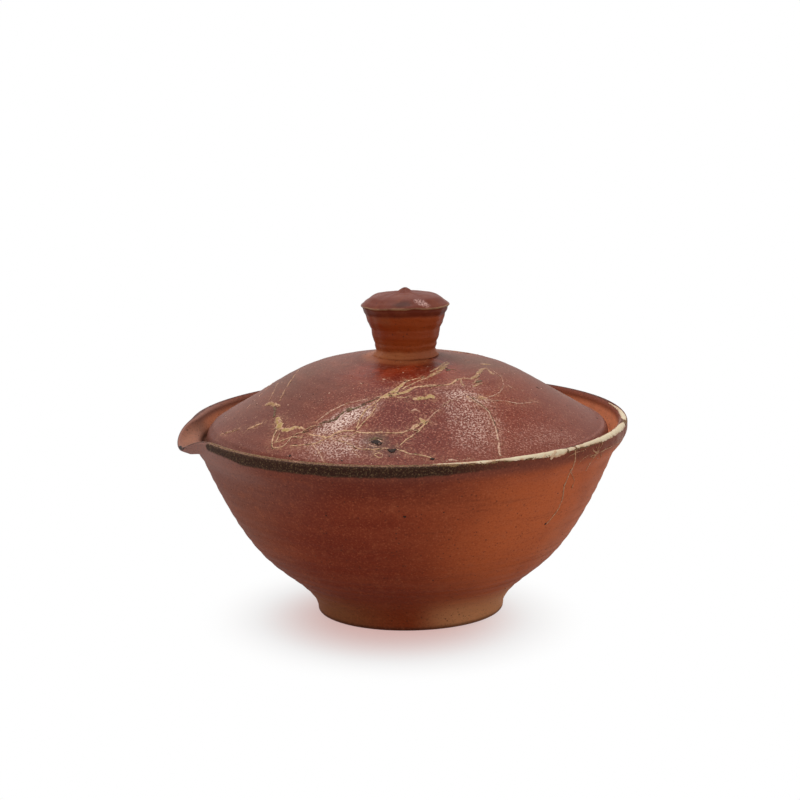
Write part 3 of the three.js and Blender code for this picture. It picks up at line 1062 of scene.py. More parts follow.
def bowl_runs(crest_radius):
    """The runs of the bowl's section. A smaller crest thins the lip from its outer side."""
    crease = at(RIM_RADIUS - COLLAR_FLARE, RIM_HEIGHT - COLLAR_DEPTH)
    inner_side = RIM_RADIUS - 2 * CREST_RADIUS
    crest = at(inner_side + crest_radius, RIM_HEIGHT - crest_radius)
    corner = at(BASE_RADIUS - BASE_ROUND, BASE_ROUND)
    ledge_outside = at(GALLERY_RADIUS, LEDGE_HEIGHT)
    ledge_inside = at(GALLERY_RADIUS - LEDGE_WIDTH, LEDGE_HEIGHT)
    foot_start = at(BASE_RADIUS, BASE_ROUND)
    lip_top = crest + at(crest_radius, 0)
    crest_inside = crest - at(crest_radius, 0)
    belly = sweep(FOOT_TOP, crease, (51, 67), (0.27, 0.74), 96)
    inside = beside(belly[::-2], -WALL_AT_LEDGE, -WALL_AT_FOOT)
    floor = sweep(at(0, FLOOR_THICKNESS), inside[-1], (0, 51), (0.5, 0.3), 20)
    return [
        (straight(at(0, 0), at(corner.x, 0), 30), 0),
        (bend(corner, BASE_ROUND, -90, 0, 5), 0.2),
        (sweep(foot_start, FOOT_TOP, (84, 52), (0.4, 0.3), 12), 0.7),
        (belly, 1),
        (sweep(crease, lip_top, (52, 90), (0.45, 0.4), 20), 0.6),
        (bend(crest, crest_radius, 0, 180, 14), 0.5),
        (sweep(crest_inside, ledge_outside, (262, 250), (0.3, 0.3), 12), 0.3),
        (straight(ledge_outside, ledge_inside, 7), 0),
        (inside, 1),
        (floor[::-1], 1),
    ]


bowl = grow(
    section("bowl_section", bowl_runs(CREST_RADIUS), bowl_runs(PULLED_CREST_RADIUS)),
    wheel,
    Columns=320,
    Crowding=0.35,
    Ring_Depth=0.1 * MM,
    Ring_Pitch=3.4 * MM,
    Streak_Depth=0.1 * MM,
    Wobble=0.35 * MM,
    Seed=3.0,
    Clay=bowl_clay,
)

# %% [markdown]
# ## The spout
#
# The potter pulls the spout out of the soft lip with one finger, between two fingers that hold it.
# Seen from the side the lip simply folds outwards about a line just outside the gallery wall. So
# the tree turns each point about that line, by an angle that is full in the middle, dies away to
# both sides, and is taken up over a few millimetres above the ledge.


# %% Fold the lip into a spout
def build_spout():
    tree, take = start_tree(
        "Pulled Spout",
        "GeometryNodeTree",
        {
            "Thrown": ("Geometry", None),
            "Rim Radius": ("Float", RIM_RADIUS),
            "Hinge Radius": ("Float", GALLERY_RADIUS + 1.2 * MM),
            "Ledge Height": ("Float", LEDGE_HEIGHT),
            "Half Width": ("Float", 11.6 * MM),
            "Fold": ("Float", math.radians(66)),
            "Squareness": ("Float", 2.8),
            "Bend": ("Float", 3.0 * MM),
            "Thinned Width": ("Float", 17.0 * MM),
        },
        {"Pulled": "Geometry"},
    )
    place = add(tree, "GeometryNodeInputPosition")
    x, y, z = split(place)
    turn = y.math("ARCTAN2", x * -1)
    far = turn * take["Rim Radius"] / take["Thinned Width"]
    thinned = (far * far * far * far * -1).math("EXPONENT")
    mesh = move(take["Thrown"], Offset=named(tree, "pull", "FLOAT_VECTOR") * thinned)
    aside = turn.math("ABSOLUTE") * take["Rim Radius"] / take["Half Width"]
    dying = ((aside ** take["Squareness"]) * -1).math("EXPONENT")
    taken = z.smooth(take["Ledge Height"], take["Ledge Height"] + take["Bend"])
    outward = outwards(tree, turn)
    hinge = outward * take["Hinge Radius"] + join(tree, 0.0, 0.0, take["Ledge Height"])
    inputs = {
        "Vector": place,
        "Center": hinge,
        "Axis": outward.math("CROSS_PRODUCT", (0.0, 0.0, -1.0)),
        "Angle": dying * taken * take["Fold"],
    }
    folded = add(tree, "ShaderNodeVectorRotate", inputs)
    return end_tree(tree, Pulled=move(mesh, Position=folded))


grow(bowl, build_spout())

# %% [markdown]
# ## The strainer comb
#
# Behind the spout the tea runs under the lid through a comb of grooves cut across the ledge. One
# round cutter is repeated on a row of points and taken out of the clay with a boolean. Each cutter
# is a little thicker or thinner than the last, because the potter cuts them by eye.


# %% Cut the comb
def build_comb():
    tree, take = start_tree(
        "Strainer Comb",
        "GeometryNodeTree",
        {
            "Bowl": ("Geometry", None),
            "Count": ("Int", 7),
            "Pitch": ("Float", 2.6 * MM),
            "Cutter Radius": ("Float", 0.8 * MM),
            "Cutter Length": ("Float", LEDGE_WIDTH + 2.2 * MM),
            "Ring Radius": ("Float", GALLERY_RADIUS - LEDGE_WIDTH / 2),
            "Height": ("Float", LEDGE_HEIGHT - 0.2 * MM),
            "Seed": ("Int", 5),
        },
        {"Strained": "Geometry"},
    )
    row = add(tree, "GeometryNodePoints", {"Count": take["Count"]})
    index = add(tree, "GeometryNodeInputIndex")
    aside = (index - (take["Count"] - 1) / 2) * take["Pitch"] / take["Ring Radius"]
    outward = outwards(tree, aside)
    place = outward * take["Ring Radius"] + join(tree, 0.0, 0.0, take["Height"])
    row = move(row, Position=place)
    inputs = {"Vertices": 14, "Radius": take["Cutter Radius"], "Depth": take["Cutter Length"]}
    cutter = add(tree, "GeometryNodeMeshCylinder", inputs)
    lying = add(tree, "FunctionNodeAlignRotationToVector", {"Vector": outward}, axis="Z")
    uneven = add(tree, "FunctionNodeRandomValue", {"Min": 0.88, "Max": 1.08, "Seed": take["Seed"]})
    inputs = {
        "Points": row,
        "Instance": cutter,
        "Rotation": lying,
        "Scale": join(tree, uneven, uneven, 1.0),
    }
    cutters = add(tree, "GeometryNodeInstanceOnPoints", inputs)
    cutters = add(tree, "GeometryNodeRealizeInstances", {"Geometry": cutters})
    inputs = {"Mesh 1": take["Bowl"], "Mesh 2": cutters}
    cut = add(tree, "GeometryNodeMeshBoolean", inputs, operation="DIFFERENCE", solver="MANIFOLD")
    return end_tree(tree, Strained=cut)


grow(bowl, build_comb())

# %% [markdown]
# ## The wire marks
#
# The finished bowl is cut off the wheel with a twisted wire while it turns, which leaves a fan of
# fine curved ridges under it. They follow the distance from a point outside the base, and they are
# carved upwards so that the pot still stands on the table.


# %% Cut the base with a wire
SOLE_HEIGHT = 0.02 * MM


def build_wire_cut():
    tree, take = start_tree(
        "Wire Cut",
        "GeometryNodeTree",
        {
            "Bowl": ("Geometry", None),
            "Ridge Pitch": ("Float", 2.2 * MM),
            "Ridge Depth": ("Float", 0.22 * MM),
            "Wander": ("Float", 4 * MM),
            "Pull From": ("Vector", mm(34, 21, 0)),
            "Clay": ("Material", None),
        },
        {"Cut": "Geometry"},
    )
    place = add(tree, "GeometryNodeInputPosition")
    height = split(place)[2]
    away = place.math("DISTANCE", take["Pull From"])["Value"]
    drag = noise(tree, place, 90.0) * take["Wander"]
    ridge = ((away + drag) / take["Ridge Pitch"] * math.pi).math("SINE").math("ABSOLUTE")
    lift = (1 - ridge) * take["Ridge Depth"]
    under = height.math("LESS_THAN", SOLE_HEIGHT)
    cut = move(take["Bowl"], Selection=under, Offset=join(tree, 0.0, 0.0, lift))
    return end_tree(tree, Cut=clad(cut, take["Clay"]))


grow(bowl, build_wire_cut(), Clay=bowl_clay)
bowl = settle("stoneware_bowl", bowl, keep=("along",))

# %% [markdown]
# ## The lid
#
# The lid is thrown upside down as a shallow dish and trimmed: a domed crown, a straight slope, a
# rounded edge, and a flat seat ring under it. The seat and the edge stay true, so that it drops
# into the gallery, and the dome keeps the marks of throwing.

# %% Throw the lid
LID_WALL = 3.6 * MM
LID_LAND_RADIUS = 8.5 * MM
SHOULDER = at(36 * MM, CROWN_HEIGHT - 9 * MM)
EDGE_HEIGHT = 4.2 * MM
EDGE_SLOPE_WIDTH = 1.3 * MM
SEAT_WIDTH = 3 * MM
SEAT_ROUND = 0.7 * MM


def lid_section():
    land = at(LID_LAND_RADIUS, CROWN_HEIGHT)
    edge_top = at(LID_RADIUS - EDGE_SLOPE_WIDTH, LEDGE_HEIGHT + EDGE_HEIGHT)
    edge_centre = at(LID_RADIUS - SEAT_ROUND, LEDGE_HEIGHT + SEAT_ROUND)
    seat_inside = at(edge_centre.x - SEAT_WIDTH, LEDGE_HEIGHT)
    edge_side = at(LID_RADIUS, edge_centre.z)
    crown = sweep(land, SHOULDER, (-11, -32), (0.55, 0.45), 60)
    slope = sweep(SHOULDER, edge_top, (-33, -34), (0.3, 0.3), 36)
    hollow = beside((crown + slope[1:])[::3], -LID_WALL, -LID_WALL)[:-2]
    hollow_end = at(seat_inside.x, edge_centre.z)
    return section(
        "lid_section",
        [
            (straight(at(0, CROWN_HEIGHT - LID_WALL), hollow[0], 6), 1),
            (hollow, 1),
            (straight(hollow_end, seat_inside, 3), 0),
            (straight(seat_inside, at(edge_centre.x, LEDGE_HEIGHT), 4), 0),
            (bend(edge_centre, SEAT_ROUND, -90, 0, 5), 0),
            (sweep(edge_side, edge_top, (90, 146), (0.45, 0.35), 10), 0.2),
            (slope[::-1], 0.8),
            (crown[::-1], 1),
            (straight(land, at(0, CROWN_HEIGHT), 8), 0.5),
        ],
    )


lid = grow(
    lid_section(),
    wheel,
    Columns=400,
    Ring_Depth=0.05 * MM,
    Ring_Pitch=4.2 * MM,
    Streak_Depth=0.07 * MM,
    Wobble=0.25 * MM,
    Lean=(-0.012, 0.002, 0.0),
    Seed=11.0,
    Clay=lid_clay,
)
lid = settle("stoneware_lid", lid, keep=("along",))

# %% [markdown]
# ## The knob
#
# The knob is thrown by itself: a small foot, a neck, a flaring side that keeps three throwing
# rings, and a low cap that was cut off to a point. Its edge is sharp, so it gets only a hair of
# rounding.

# %% Throw the knob
KNOB_FOOT = at(8.5 * MM, CROWN_HEIGHT)
KNOB_FOOT_TOP = KNOB_FOOT + at(-0.1 * MM, 0.5 * MM)
KNOB_NECK = at(7.5 * MM, CROWN_HEIGHT + 1.8 * MM)
KNOB_EDGE = at(knob_high.x, CROWN_HEIGHT + 13.1 * MM)
KNOB_UNDERCUT = at(0.5 * MM, 0.5 * MM)
KNOB_BEVEL_TOP = KNOB_EDGE + at(-2.7 * MM, 2.1 * MM)
NIPPLE_FOOT = at(2.1 * MM, KNOB_EDGE.z + 3.3 * MM)
KNOB_HOLLOW = 0.5 * MM
KNOB_RING_FOOT = CROWN_HEIGHT + 3.5 * MM
KNOB_RING_PITCH = 3.7 * MM
KNOB_RING_DEPTH = 0.3 * MM
KNOB_RING_ENDS = 0.1


def knob_section():
    under_edge = KNOB_EDGE - KNOB_UNDERCUT
    side = straight(KNOB_NECK, under_edge, 48)
    for i, point in enumerate(side):
        share = i / (len(side) - 1)
        swell = abs(math.sin(math.pi * (point.z - KNOB_RING_FOOT) / KNOB_RING_PITCH))
        swell = swell**0.8 * min(share / KNOB_RING_ENDS, (1 - share) / KNOB_RING_ENDS, 1)
        point.x += swell * KNOB_RING_DEPTH - math.sin(math.pi * share) * KNOB_HOLLOW
    tip = at(0, knob_high.z)
    return section(
        "knob_section",
        [
            (straight(at(0, CROWN_HEIGHT), KNOB_FOOT, 6), 0),
            (straight(KNOB_FOOT, KNOB_FOOT_TOP, 3), 0.5),
            (sweep(KNOB_FOOT_TOP, KNOB_NECK, (128, 84), (0.4, 0.35), 8), 1),
            (side, 1),
            (straight(under_edge, KNOB_EDGE, 4), 1),
            (sweep(KNOB_EDGE, KNOB_BEVEL_TOP, (138, 145), (0.3, 0.3), 12), 1),
            (sweep(KNOB_BEVEL_TOP, NIPPLE_FOOT, (164, 172), (0.3, 0.3), 12), 1),
            (sweep(NIPPLE_FOOT, tip, (150, 170), (0.4, 0.4), 8), 0.6),
        ],
    )


knob = grow(
    knob_section(),
    wheel,
    Columns=150,
    Ring_Depth=0.05 * MM,
    Ring_Pitch=1.9 * MM,
    Streak_Depth=0.1 * MM,
    Wobble=0.55 * MM,
    Wobble_Count=1.7,
    Seed=23.0,
    Clay=knob_clay,
)

# %% [markdown]
# The knob's edge isn't level. It was bumped up a little at the front while the clay was soft, and a
# fingertip left a small hollow behind it. Both are a push that dies away around a place, so one
# tree serves for both, and needs only where, how far, and how wide.


# %% Press the knob's edge out of true
def build_dent():
    tree, take = start_tree(
        "Pressed Dent",
        "GeometryNodeTree",
        {
            "Piece": ("Geometry", None),
            "Centre": ("Vector", (0, 0, 0)),
            "Push": ("Vector", (0, 0, -0.5 * MM)),
            "Reach": ("Float", 2.4 * MM),
            "Clay": ("Material", None),
        },
        {"Dented": "Geometry"},
    )
    place = add(tree, "GeometryNodeInputPosition")
    far = place.math("DISTANCE", take["Centre"])["Value"] / take["Reach"]
    dented = move(take["Piece"], Offset=take["Push"] * (far * far * -1).math("EXPONENT"))
    return end_tree(tree, Dented=clad(dented, take["Clay"]))


HOLLOW_BEHIND = 1.4 * MM
HOLLOW_LEFT = 0.9 * MM
picture_front = Vector((camera_right.y, -camera_right.x, 0))
bump_place = picture_front * KNOB_EDGE.x + Vector((0, 0, KNOB_EDGE.z))
hollow_place = bump_place - picture_front * HOLLOW_BEHIND - camera_right * HOLLOW_LEFT
pressed_dent = build_dent()
for place, lift, reach in (
    (bump_place, 0.8 * MM, 7.5 * MM),
    (hollow_place, -0.45 * MM, 1.7 * MM),
):
    push = dict(Centre=place, Push=(0, 0, lift), Reach=reach)
    grow(knob, pressed_dent, Clay=knob_clay, **push)
knob = settle("stoneware_knob", knob, keep=("along",))

# %% [markdown]
# ## Where the marks lie
#
# Straw cord was wound round the pot before the firing. It burnt away and left its ash as thin,
# branching lines, yellow where it melted thick, olive where iron ran into it, and pale where it
# only dusted the clay. Such marks follow no rule, so their routes are read off the picture: each
# point is a place in the picture, and a sight line from the camera finds the clay behind it.

# %% Find the clay behind a point of the picture
lid_surface = BVHTree.FromObject(lid, bpy.context.evaluated_depsgraph_get())
bowl_surface = BVHTree.FromObject(bowl, bpy.context.evaluated_depsgraph_get())


def seen_on_lid(pixel):
    """The place on the lid that the camera sees at a pixel, or None where it misses."""
    return lid_surface.ray_cast(camera.location, sight_line(pixel))[0]


def seen_on_bowl(pixel):
    return bowl_surface.ray_cast(camera.location, sight_line(pixel))[0]


def find_routes(find, routes):
    """A list of places and widths for each route. A route is its usual width in millimetres, then
    points of x and y in the picture, each with a width of its own where it has one. The function
    find turns x and y into a place."""
    found = []
    for width, points in routes:
        placed = [(find(p[:2]), p[2] if len(p) > 2 else width) for p in points]
        placed = [(place, wide) for place, wide in placed if place is not None]
        if len(placed) > 1:
            found.append(placed)
        else:
            print(f"a route misses the clay at {points[0]}")
    return found


def draw(name, found):
    """A curve object with one spline for each list of places and widths."""
    curve = bpy.data.curves.new(name, "CURVE")
    curve.dimensions = "3D"
    for placed in found:
        spline = curve.splines.new("POLY")
        spline.points.add(len(placed) - 1)
        for point, (place, wide) in zip(spline.points, placed):
            point.co = (*place, 1)
            point.radius = wide / 2 * MM
    return new_object(name, curve)


# %% [markdown]
# ## Draped threads
#
# One tree turns such a curve into melted ash. It smooths the curve and lets it wander a little,
# turns it into a thick tube, and presses that tube onto the clay: every vertex goes to the nearest
# place on the surface, and rises from it only by a share of the thickness. Noise makes the width
# ragged. So a thread 2 mm wide still follows the dome, and its underside is hidden in the clay.


# %% Build the tree that drapes threads
def build_draped_thread():
    tree, take = start_tree(
        "Draped Thread",
        "GeometryNodeTree",
        {
            "Routes": ("Geometry", None),
            "Clay Surface": ("Object", None),
            "Step": ("Float", 0.3 * MM),
            "Sides": ("Int", 8),
            "Thickness": ("Float", 0.12 * MM),
            "Wander": ("Float", 0.25 * MM),
            "Width Share": ("Float", 1.0),
            "Raggedness": ("Float", 0.6),
            "Rag Size": ("Float", 1.0 * MM),
            "Gap Share": ("Float", 0.42),
            "Gap Size": ("Float", 1.4 * MM),
            "Seed": ("Float", 0.0),
            "Ash": ("Material", None),
        },
        {"Threads": "Geometry"},
    )
    target = add(tree, "GeometryNodeObjectInfo", {"Object": take["Clay Surface"]})["Geometry"]
    own_place = add(tree, "GeometryNodeInputPosition")
    own_normal = add(tree, "GeometryNodeInputNormal")

    def on_surface(value, place):
        inputs = {"Mesh": target, "Value": value, "Sample Position": place}
        kind = "GeometryNodeSampleNearestSurface"
        return add(tree, kind, inputs, data_type="FLOAT_VECTOR")

    kind = "GeometryNodeCurveSplineType"
    routes = add(tree, kind, {"Curve": take["Routes"]}, spline_type="CATMULL_ROM")
    inputs = {"Curve": routes, "Length": take["Step"]}
    routes = add(tree, "GeometryNodeResampleCurve", inputs, mode="LENGTH")
    drift = noise(tree, own_place + take["Seed"], 420.0, 3.0, 0.6)["Color"] - (0.5, 0.5, 0.5)
    routes = move(routes, Offset=drift * (take["Wander"] * 3))
    wide = add(tree, "GeometryNodeInputRadius") * take["Width Share"]
    routes = store(routes, "spine", on_surface(own_place, own_place), "FLOAT_VECTOR")
    routes = store(routes, "up", on_surface(own_normal, own_place), "FLOAT_VECTOR")
    routes = store(routes, "wide", wide)
    ring = add(tree, "GeometryNodeCurvePrimitiveCircle", {"Resolution": take["Sides"], "Radius": 1})
    inputs = {"Curve": routes, "Profile Curve": ring, "Fill Caps": True, "Scale": wide}
    mesh = add(tree, "GeometryNodeCurveToMesh", inputs)

    # each point of the tube is pressed flat, moved in or out to make a ragged edge, and laid down
    spine = named(tree, "spine", "FLOAT_VECTOR")
    up = named(tree, "up", "FLOAT_VECTOR")
    wide = named(tree, "wide")
    out = own_place - spine
    rise = out.math("DOT_PRODUCT", up)["Value"]
    rag = noise(tree, own_place + take["Seed"], 1 / take["Rag Size"], 3.0, 0.6) - 0.5
    spread = (out - up * rise) * (rag * take["Raggedness"] * 4 + 1)
    place = on_surface(own_place, spine + spread)
    normal = on_surface(own_normal, spine + spread)
    # the top is lumpy, and where it is worn it sinks into the clay and leaves a gap
    lumps = noise(tree, own_place, 1 / take["Rag Size"] * 1.7, 2.0) + 0.5
    worn = noise(tree, own_place + take["Seed"], 1 / take["Gap Size"], 3.0, 0.6)
    sunk = worn.smooth(1 - take["Gap Share"], 1.06 - take["Gap Share"]) * 2.2
    mesh = store(mesh, "crown", rise / wide)
    high = (named(tree, "crown") * lumps - sunk) * take["Thickness"]
    mesh = move(mesh, Position=place + normal * high)
    mesh = add(tree, "GeometryNodeRealizeInstances", {"Geometry": mesh})
    return end_tree(tree, Threads=clad(mesh, take["Ash"]))


draped_thread = build_draped_thread()


def drape(name, found, piece, ash, **inputs):
    """Draws lists of places and widths, and drapes them on a piece as a piece of its own."""
    drawn = draw(name + "_routes", found)
    grow(drawn, draped_thread, Clay_Surface=piece, Ash=ash, **inputs)
    return settle(name, drawn, keep=("crown", "wide"))


# %% [markdown]
# ## The ashes
#
# A few ashes are enough: straw that melted to a dull yellow glass, the same straw faded where it
# lies thin, olive glass with iron in it, and pale dust. Black is the clay itself, burnt out in
# small pits. A melted run is thickest in its middle, where it turns to green glass, and pale
# towards its sides, and a dark line of painted shade runs along its edges. The thread's tree keeps
# how high each point stands as "crown", and its half width as "wide", so the material can tell the
# three zones.


# %% Mix the ashes
GLASS_WIDTHS = mm(0.35, 0.7)


def mix_ash(name, thick, thin, rough, grain_size=0.5 * MM, glass=None, side=None):
    material, tree, place = start_material(name)
    patchy = noise(tree, place, 1 / grain_size, 4.0, 0.6)
    broad = noise(tree, place, 160.0, 2.0)
    colour = blend(patchy.smooth(0.38, 0.62), thin, thick)
    colour = blend(broad.smooth(0.5, 0.7) * 0.55, colour, thin)
    crown = kept(tree, "crown")
    if glass:
        wide = kept(tree, "wide")
        thickest = (crown + patchy * 0.3).smooth(0.85, 1.05) * wide.smooth(*GLASS_WIDTHS)
        colour = blend(thickest * 0.8, colour, glass)
    if side:
        # painted shade: a dark line along the low edges of the run
        scorch_and_painted_edge_shade = crown.smooth(0.5, 0.3) * patchy.smooth(0.36, 0.5)
        colour = blend(scorch_and_painted_edge_shade * 0.85, colour, side)
    relief = patchy + noise(tree, place, 3000.0) * 0.4
    return end_material(material, colour, relief, rough, 0.05 * MM, Specular_IOR_Level=0.12)


# painted shade laid along the edges of ash runs and of hairs
PAINTED_EDGE_SHADE = fired(72, 34, 22)
PAINTED_HAIR_EDGE_SHADE = fired(104, 62, 40)
straw_ash = mix_ash("straw_ash", fired(204, 166, 130), fired(160, 112, 82), 0.45,
                    glass=fired(150, 124, 66), side=PAINTED_EDGE_SHADE)
faded_ash = mix_ash("faded_ash", fired(170, 132, 100), fired(126, 84, 64), 0.5, 0.4 * MM,
                    glass=fired(142, 108, 66))
olive_ash = mix_ash("olive_ash", fired(110, 88, 52), fired(74, 44, 28), 0.4, side=PAINTED_EDGE_SHADE)
pale_ash = mix_ash("pale_ash", fired(206, 168, 144), fired(156, 106, 86), 0.5, side=PAINTED_EDGE_SHADE)
feldspar_grain = mix_ash("feldspar_grain", fired(206, 168, 144), fired(166, 116, 94), 0.5)
hair_ash = mix_ash("hair_ash", fired(182, 140, 106), fired(140, 92, 62), 0.55, side=PAINTED_HAIR_EDGE_SHADE)
burnt_clay = mix_ash("burnt_clay", fired(24, 16, 11), fired(50, 30, 22), 0.6)

# %% Drape the cord marks on the lid
STRAW_ROUTES = [
    (2.0, [(277.5, 417.5, 1.2), (278.5, 421), (279.4, 425, 2.4), (279, 430, 1.2)]),
    (1.4, [(280.5, 427.5, 1.0), (285, 430, 1.7), (290, 429.4, 1.9), (295, 427.6, 1.5),
           (300, 427.4, 0.9), (305, 429.5, 0.5)]),
    (0.45, [(276.5, 430), (273.6, 437), (272, 445), (274.5, 448), (284, 445.6), (292.7, 436),
            (303, 432)]),
    (0.35, [(279.5, 434), (276.5, 441), (274.4, 442.5), (284, 440), (292.7, 437), (302, 438)]),
    (0.4, [(291, 445.6), (304.4, 445), (317.6, 442.7), (328, 437)]),
    (0.45, [(247, 429.5), (255, 426, 0.9), (262, 423.6, 0.5)]),
    (0.3, [(221, 434), (230, 432), (238, 429.5)]),
    (0.35, [(303, 431), (309, 428), (316, 425)]),
    (0.5, [(307, 434), (318, 436, 0.7), (328, 437, 0.9), (336, 434, 0.5)]),
    (0.5, [(328, 438), (337, 433, 0.8), (346, 431), (355, 431)]),
    (0.4, [(332, 440), (341, 436), (350, 436), (356, 433)]),
    (0.45, [(382, 397), (374, 404), (366, 409.7), (360, 419), (356, 428)]),
    (0.4, [(376, 405), (371, 415), (363, 423), (357, 430)]),
    (0.45, [(356, 432), (366, 433), (379, 432.5), (401, 433), (416, 427), (421, 423.6)]),
    (0.4, [(337, 440), (348.5, 444), (358.7, 448.5), (373, 449.5), (388, 448.5)]),
    (0.45, [(397, 449), (410, 453.7), (420, 455), (432, 458)]),
    (1.2, [(380, 398.5, 0.7), (387, 395, 1.3), (395, 390.6, 1.6), (401, 386, 1.2),
           (406, 381.5, 0.8), (416, 379, 0.5), (424, 377, 0.4)]),
    (0.9, [(384, 398, 0.8), (397, 394, 1.2), (406, 392, 1.1), (415, 387.5, 0.9), (430.6, 385, 0.6),
           (441, 385.5, 0.5), (450.5, 384, 0.7), (457, 379, 0.6)]),
    (0.4, [(402, 389), (412, 384), (421, 380), (428, 378)]),
    (0.35, [(420, 387.6), (428, 386.6), (436, 386)]),
    (1.5, [(413, 399, 0.8), (419, 398.5, 1.6), (426, 398, 1.1), (431, 396, 1.7), (434, 399, 0.6)]),
    (0.3, [(387, 396.5), (399, 397.5), (410, 397)]),
    (0.45, [(467, 396.5, 0.5), (475, 397.5), (483, 397.3, 0.9), (488, 398.5, 0.4)]),
    (0.55, [(419.5, 418), (422.5, 421, 1.3), (426, 423.5, 1.1), (428, 419)]),
    (0.45, [(424.5, 424), (421, 428), (415, 430.5), (413, 427), (418, 424), (423, 422)]),
    (0.35, [(421, 429), (412, 436), (406, 440), (399, 446)]),
    (0.3, [(374, 455), (378, 453), (382.5, 455), (379, 457.5), (374, 455.5)]),
]
FADED_ROUTES = [
    (1.6, [(264.5, 405.6, 0.8), (268, 404, 2.0), (271.5, 403.8), (275.5, 405, 1.4),
           (279.5, 406.4, 0.8)]),
    (0.4, [(269, 401), (271.5, 396), (274, 391), (278, 383, 0.25)]),
    (0.4, [(279.5, 401), (286, 388), (292.7, 378), (298, 371, 0.25)]),
    (1.2, [(422, 379, 0.6), (428, 377.4, 1.0), (434, 374, 1.5), (439, 371, 1.7), (444, 366.5, 1.5),
           (449, 362.6, 0.8)]),
    (0.8, [(430, 372, 0.5), (436, 369, 0.9), (442, 365), (447, 361.6, 0.6)]),
    (0.9, [(456, 380, 0.6), (460, 379), (465, 378.6, 0.7), (470, 379, 1.1), (475, 376.8, 1.2),
           (478.5, 373.4, 1.3), (481.5, 369.8, 1.1), (485.5, 368, 0.6)]),
    (0.6, [(485.5, 368), (489.5, 371), (492, 374, 0.9), (494, 373, 0.5)]),
    (1.1, [(480.5, 364.4, 0.6), (484, 364, 1.3), (488, 364.4, 1.4), (491, 364.8, 0.7)]),
    (0.5, [(461, 379), (461.5, 383), (464, 386)]),
    (0.8, [(472.5, 386.6, 0.4), (477, 384.6, 0.8), (481.5, 383, 0.6)]),
    (0.5, [(473, 383.4), (476, 380.6), (478, 378.8)]),
    (0.9, [(477.5, 398.6, 0.5), (481, 398.8, 1.2), (485, 399.2, 0.7)]),
]
OLIVE_ROUTES = [
    (0.5, [(274, 407), (275.5, 411, 0.9), (274, 417, 0.6)]),
    (0.5, [(316, 425), (324, 422.5, 0.7), (333.8, 420, 1.0), (339, 416, 0.6), (344, 412)]),
    (0.5, [(344, 412), (348, 409.8, 1.5), (353, 409, 0.8), (360, 406.5), (366, 404.5)]),
    (0.3, [(303, 433), (312, 429), (324, 424.5)]),
    (0.35, [(360, 405), (371, 401), (381, 397)]),
    (0.5, [(475.5, 382.6), (478.6, 381.2, 1.1), (481.4, 380.6, 0.6)]),
    (0.4, [(446, 371), (449, 370, 1.0), (453, 369.4, 0.5), (456, 370.4, 0.3)]),
    (0.8, [(369, 440.6, 0.4), (373, 438.6, 1.0), (378, 438.2, 0.7), (383, 439.6, 0.9)]),
    (0.3, [(469, 396), (478, 402), (488, 410.4), (494, 422), (498, 432)]),
]
PALE_ROUTES = [
    (0.45, [(465.8, 397), (476.5, 402.8), (487, 410.4), (493.4, 422.7, 0.6), (497.2, 433.4),
            (498.7, 444, 0.7), (500, 456.3, 0.8)]),
    (0.3, [(476.5, 398), (488.8, 400.5), (504, 401), (519.4, 403.5), (537.8, 402)]),
    (0.22, [(493, 371), (500, 376), (503, 383), (501.8, 390), (495, 395), (485, 398)]),
    (0.35, [(316, 422), (330, 412), (345, 404.5), (362, 400), (382, 396)]),
    (0.35, [(450.5, 399.7), (444, 405), (438, 410.4), (432, 416), (426, 422)]),
    (0.3, [(313, 445), (319, 452.5), (323.5, 462)]),
    (0.3, [(351, 444), (355, 451.5), (359.4, 458)]),
    (0.4, [(378.6, 440.2), (380.6, 440.8, 0.6), (382, 442)]),
    (0.3, [(368, 444.2), (372, 446), (377, 446.8)]),
    (0.3, [(360, 383), (362, 384)]),
    (0.5, [(382.5, 379), (386, 379.5)]),
    (0.35, [(411, 411), (416, 410, 0.8), (420, 412)]),
    (0.4, [(446, 461.5), (452, 459.6, 0.7), (458, 461)]),
    (0.3, [(463, 460.5), (470, 459)]),
    (0.3, [(508, 385), (512, 388)]),
]
BURNT_ROUTES = [
    (1.2, [(371, 441.2, 0.5), (374, 441.8, 1.5), (378, 442.6, 1.8), (382, 443.2, 0.8)]),
    (0.9, [(388, 449.8, 0.4), (391.2, 451.2, 1.3), (394, 449.6, 0.8), (396, 449, 0.3)]),
    (0.8, [(430, 458.3), (434, 459.2)]),
    (0.6, [(289.5, 455.6), (290.8, 456.2)]),
    (0.5, [(341, 460.7), (342.4, 461.2)]),
    (0.5, [(446, 368.6), (450, 370)]),
    (0.5, [(596.5, 418), (597.8, 418.4)]),
    (0.45, [(536, 387), (539, 388.4)]),
]

lid_marks = {}
for name, routes, ash, thickness, seed in (
    ("straw_marks", STRAW_ROUTES, straw_ash, 0.07, 1.0),
    ("faded_marks", FADED_ROUTES, faded_ash, 0.05, 5.0),
    ("olive_marks", OLIVE_ROUTES, olive_ash, 0.07, 2.0),
    ("pale_marks", PALE_ROUTES, pale_ash, 0.05, 3.0),
    ("burnt_pits", BURNT_ROUTES, burnt_clay, 0.08, 4.0),
):
    found = find_routes(seen_on_lid, routes)
    lid_marks[name] = drape(name, found, lid, ash, Thickness=thickness * MM, Seed=seed)

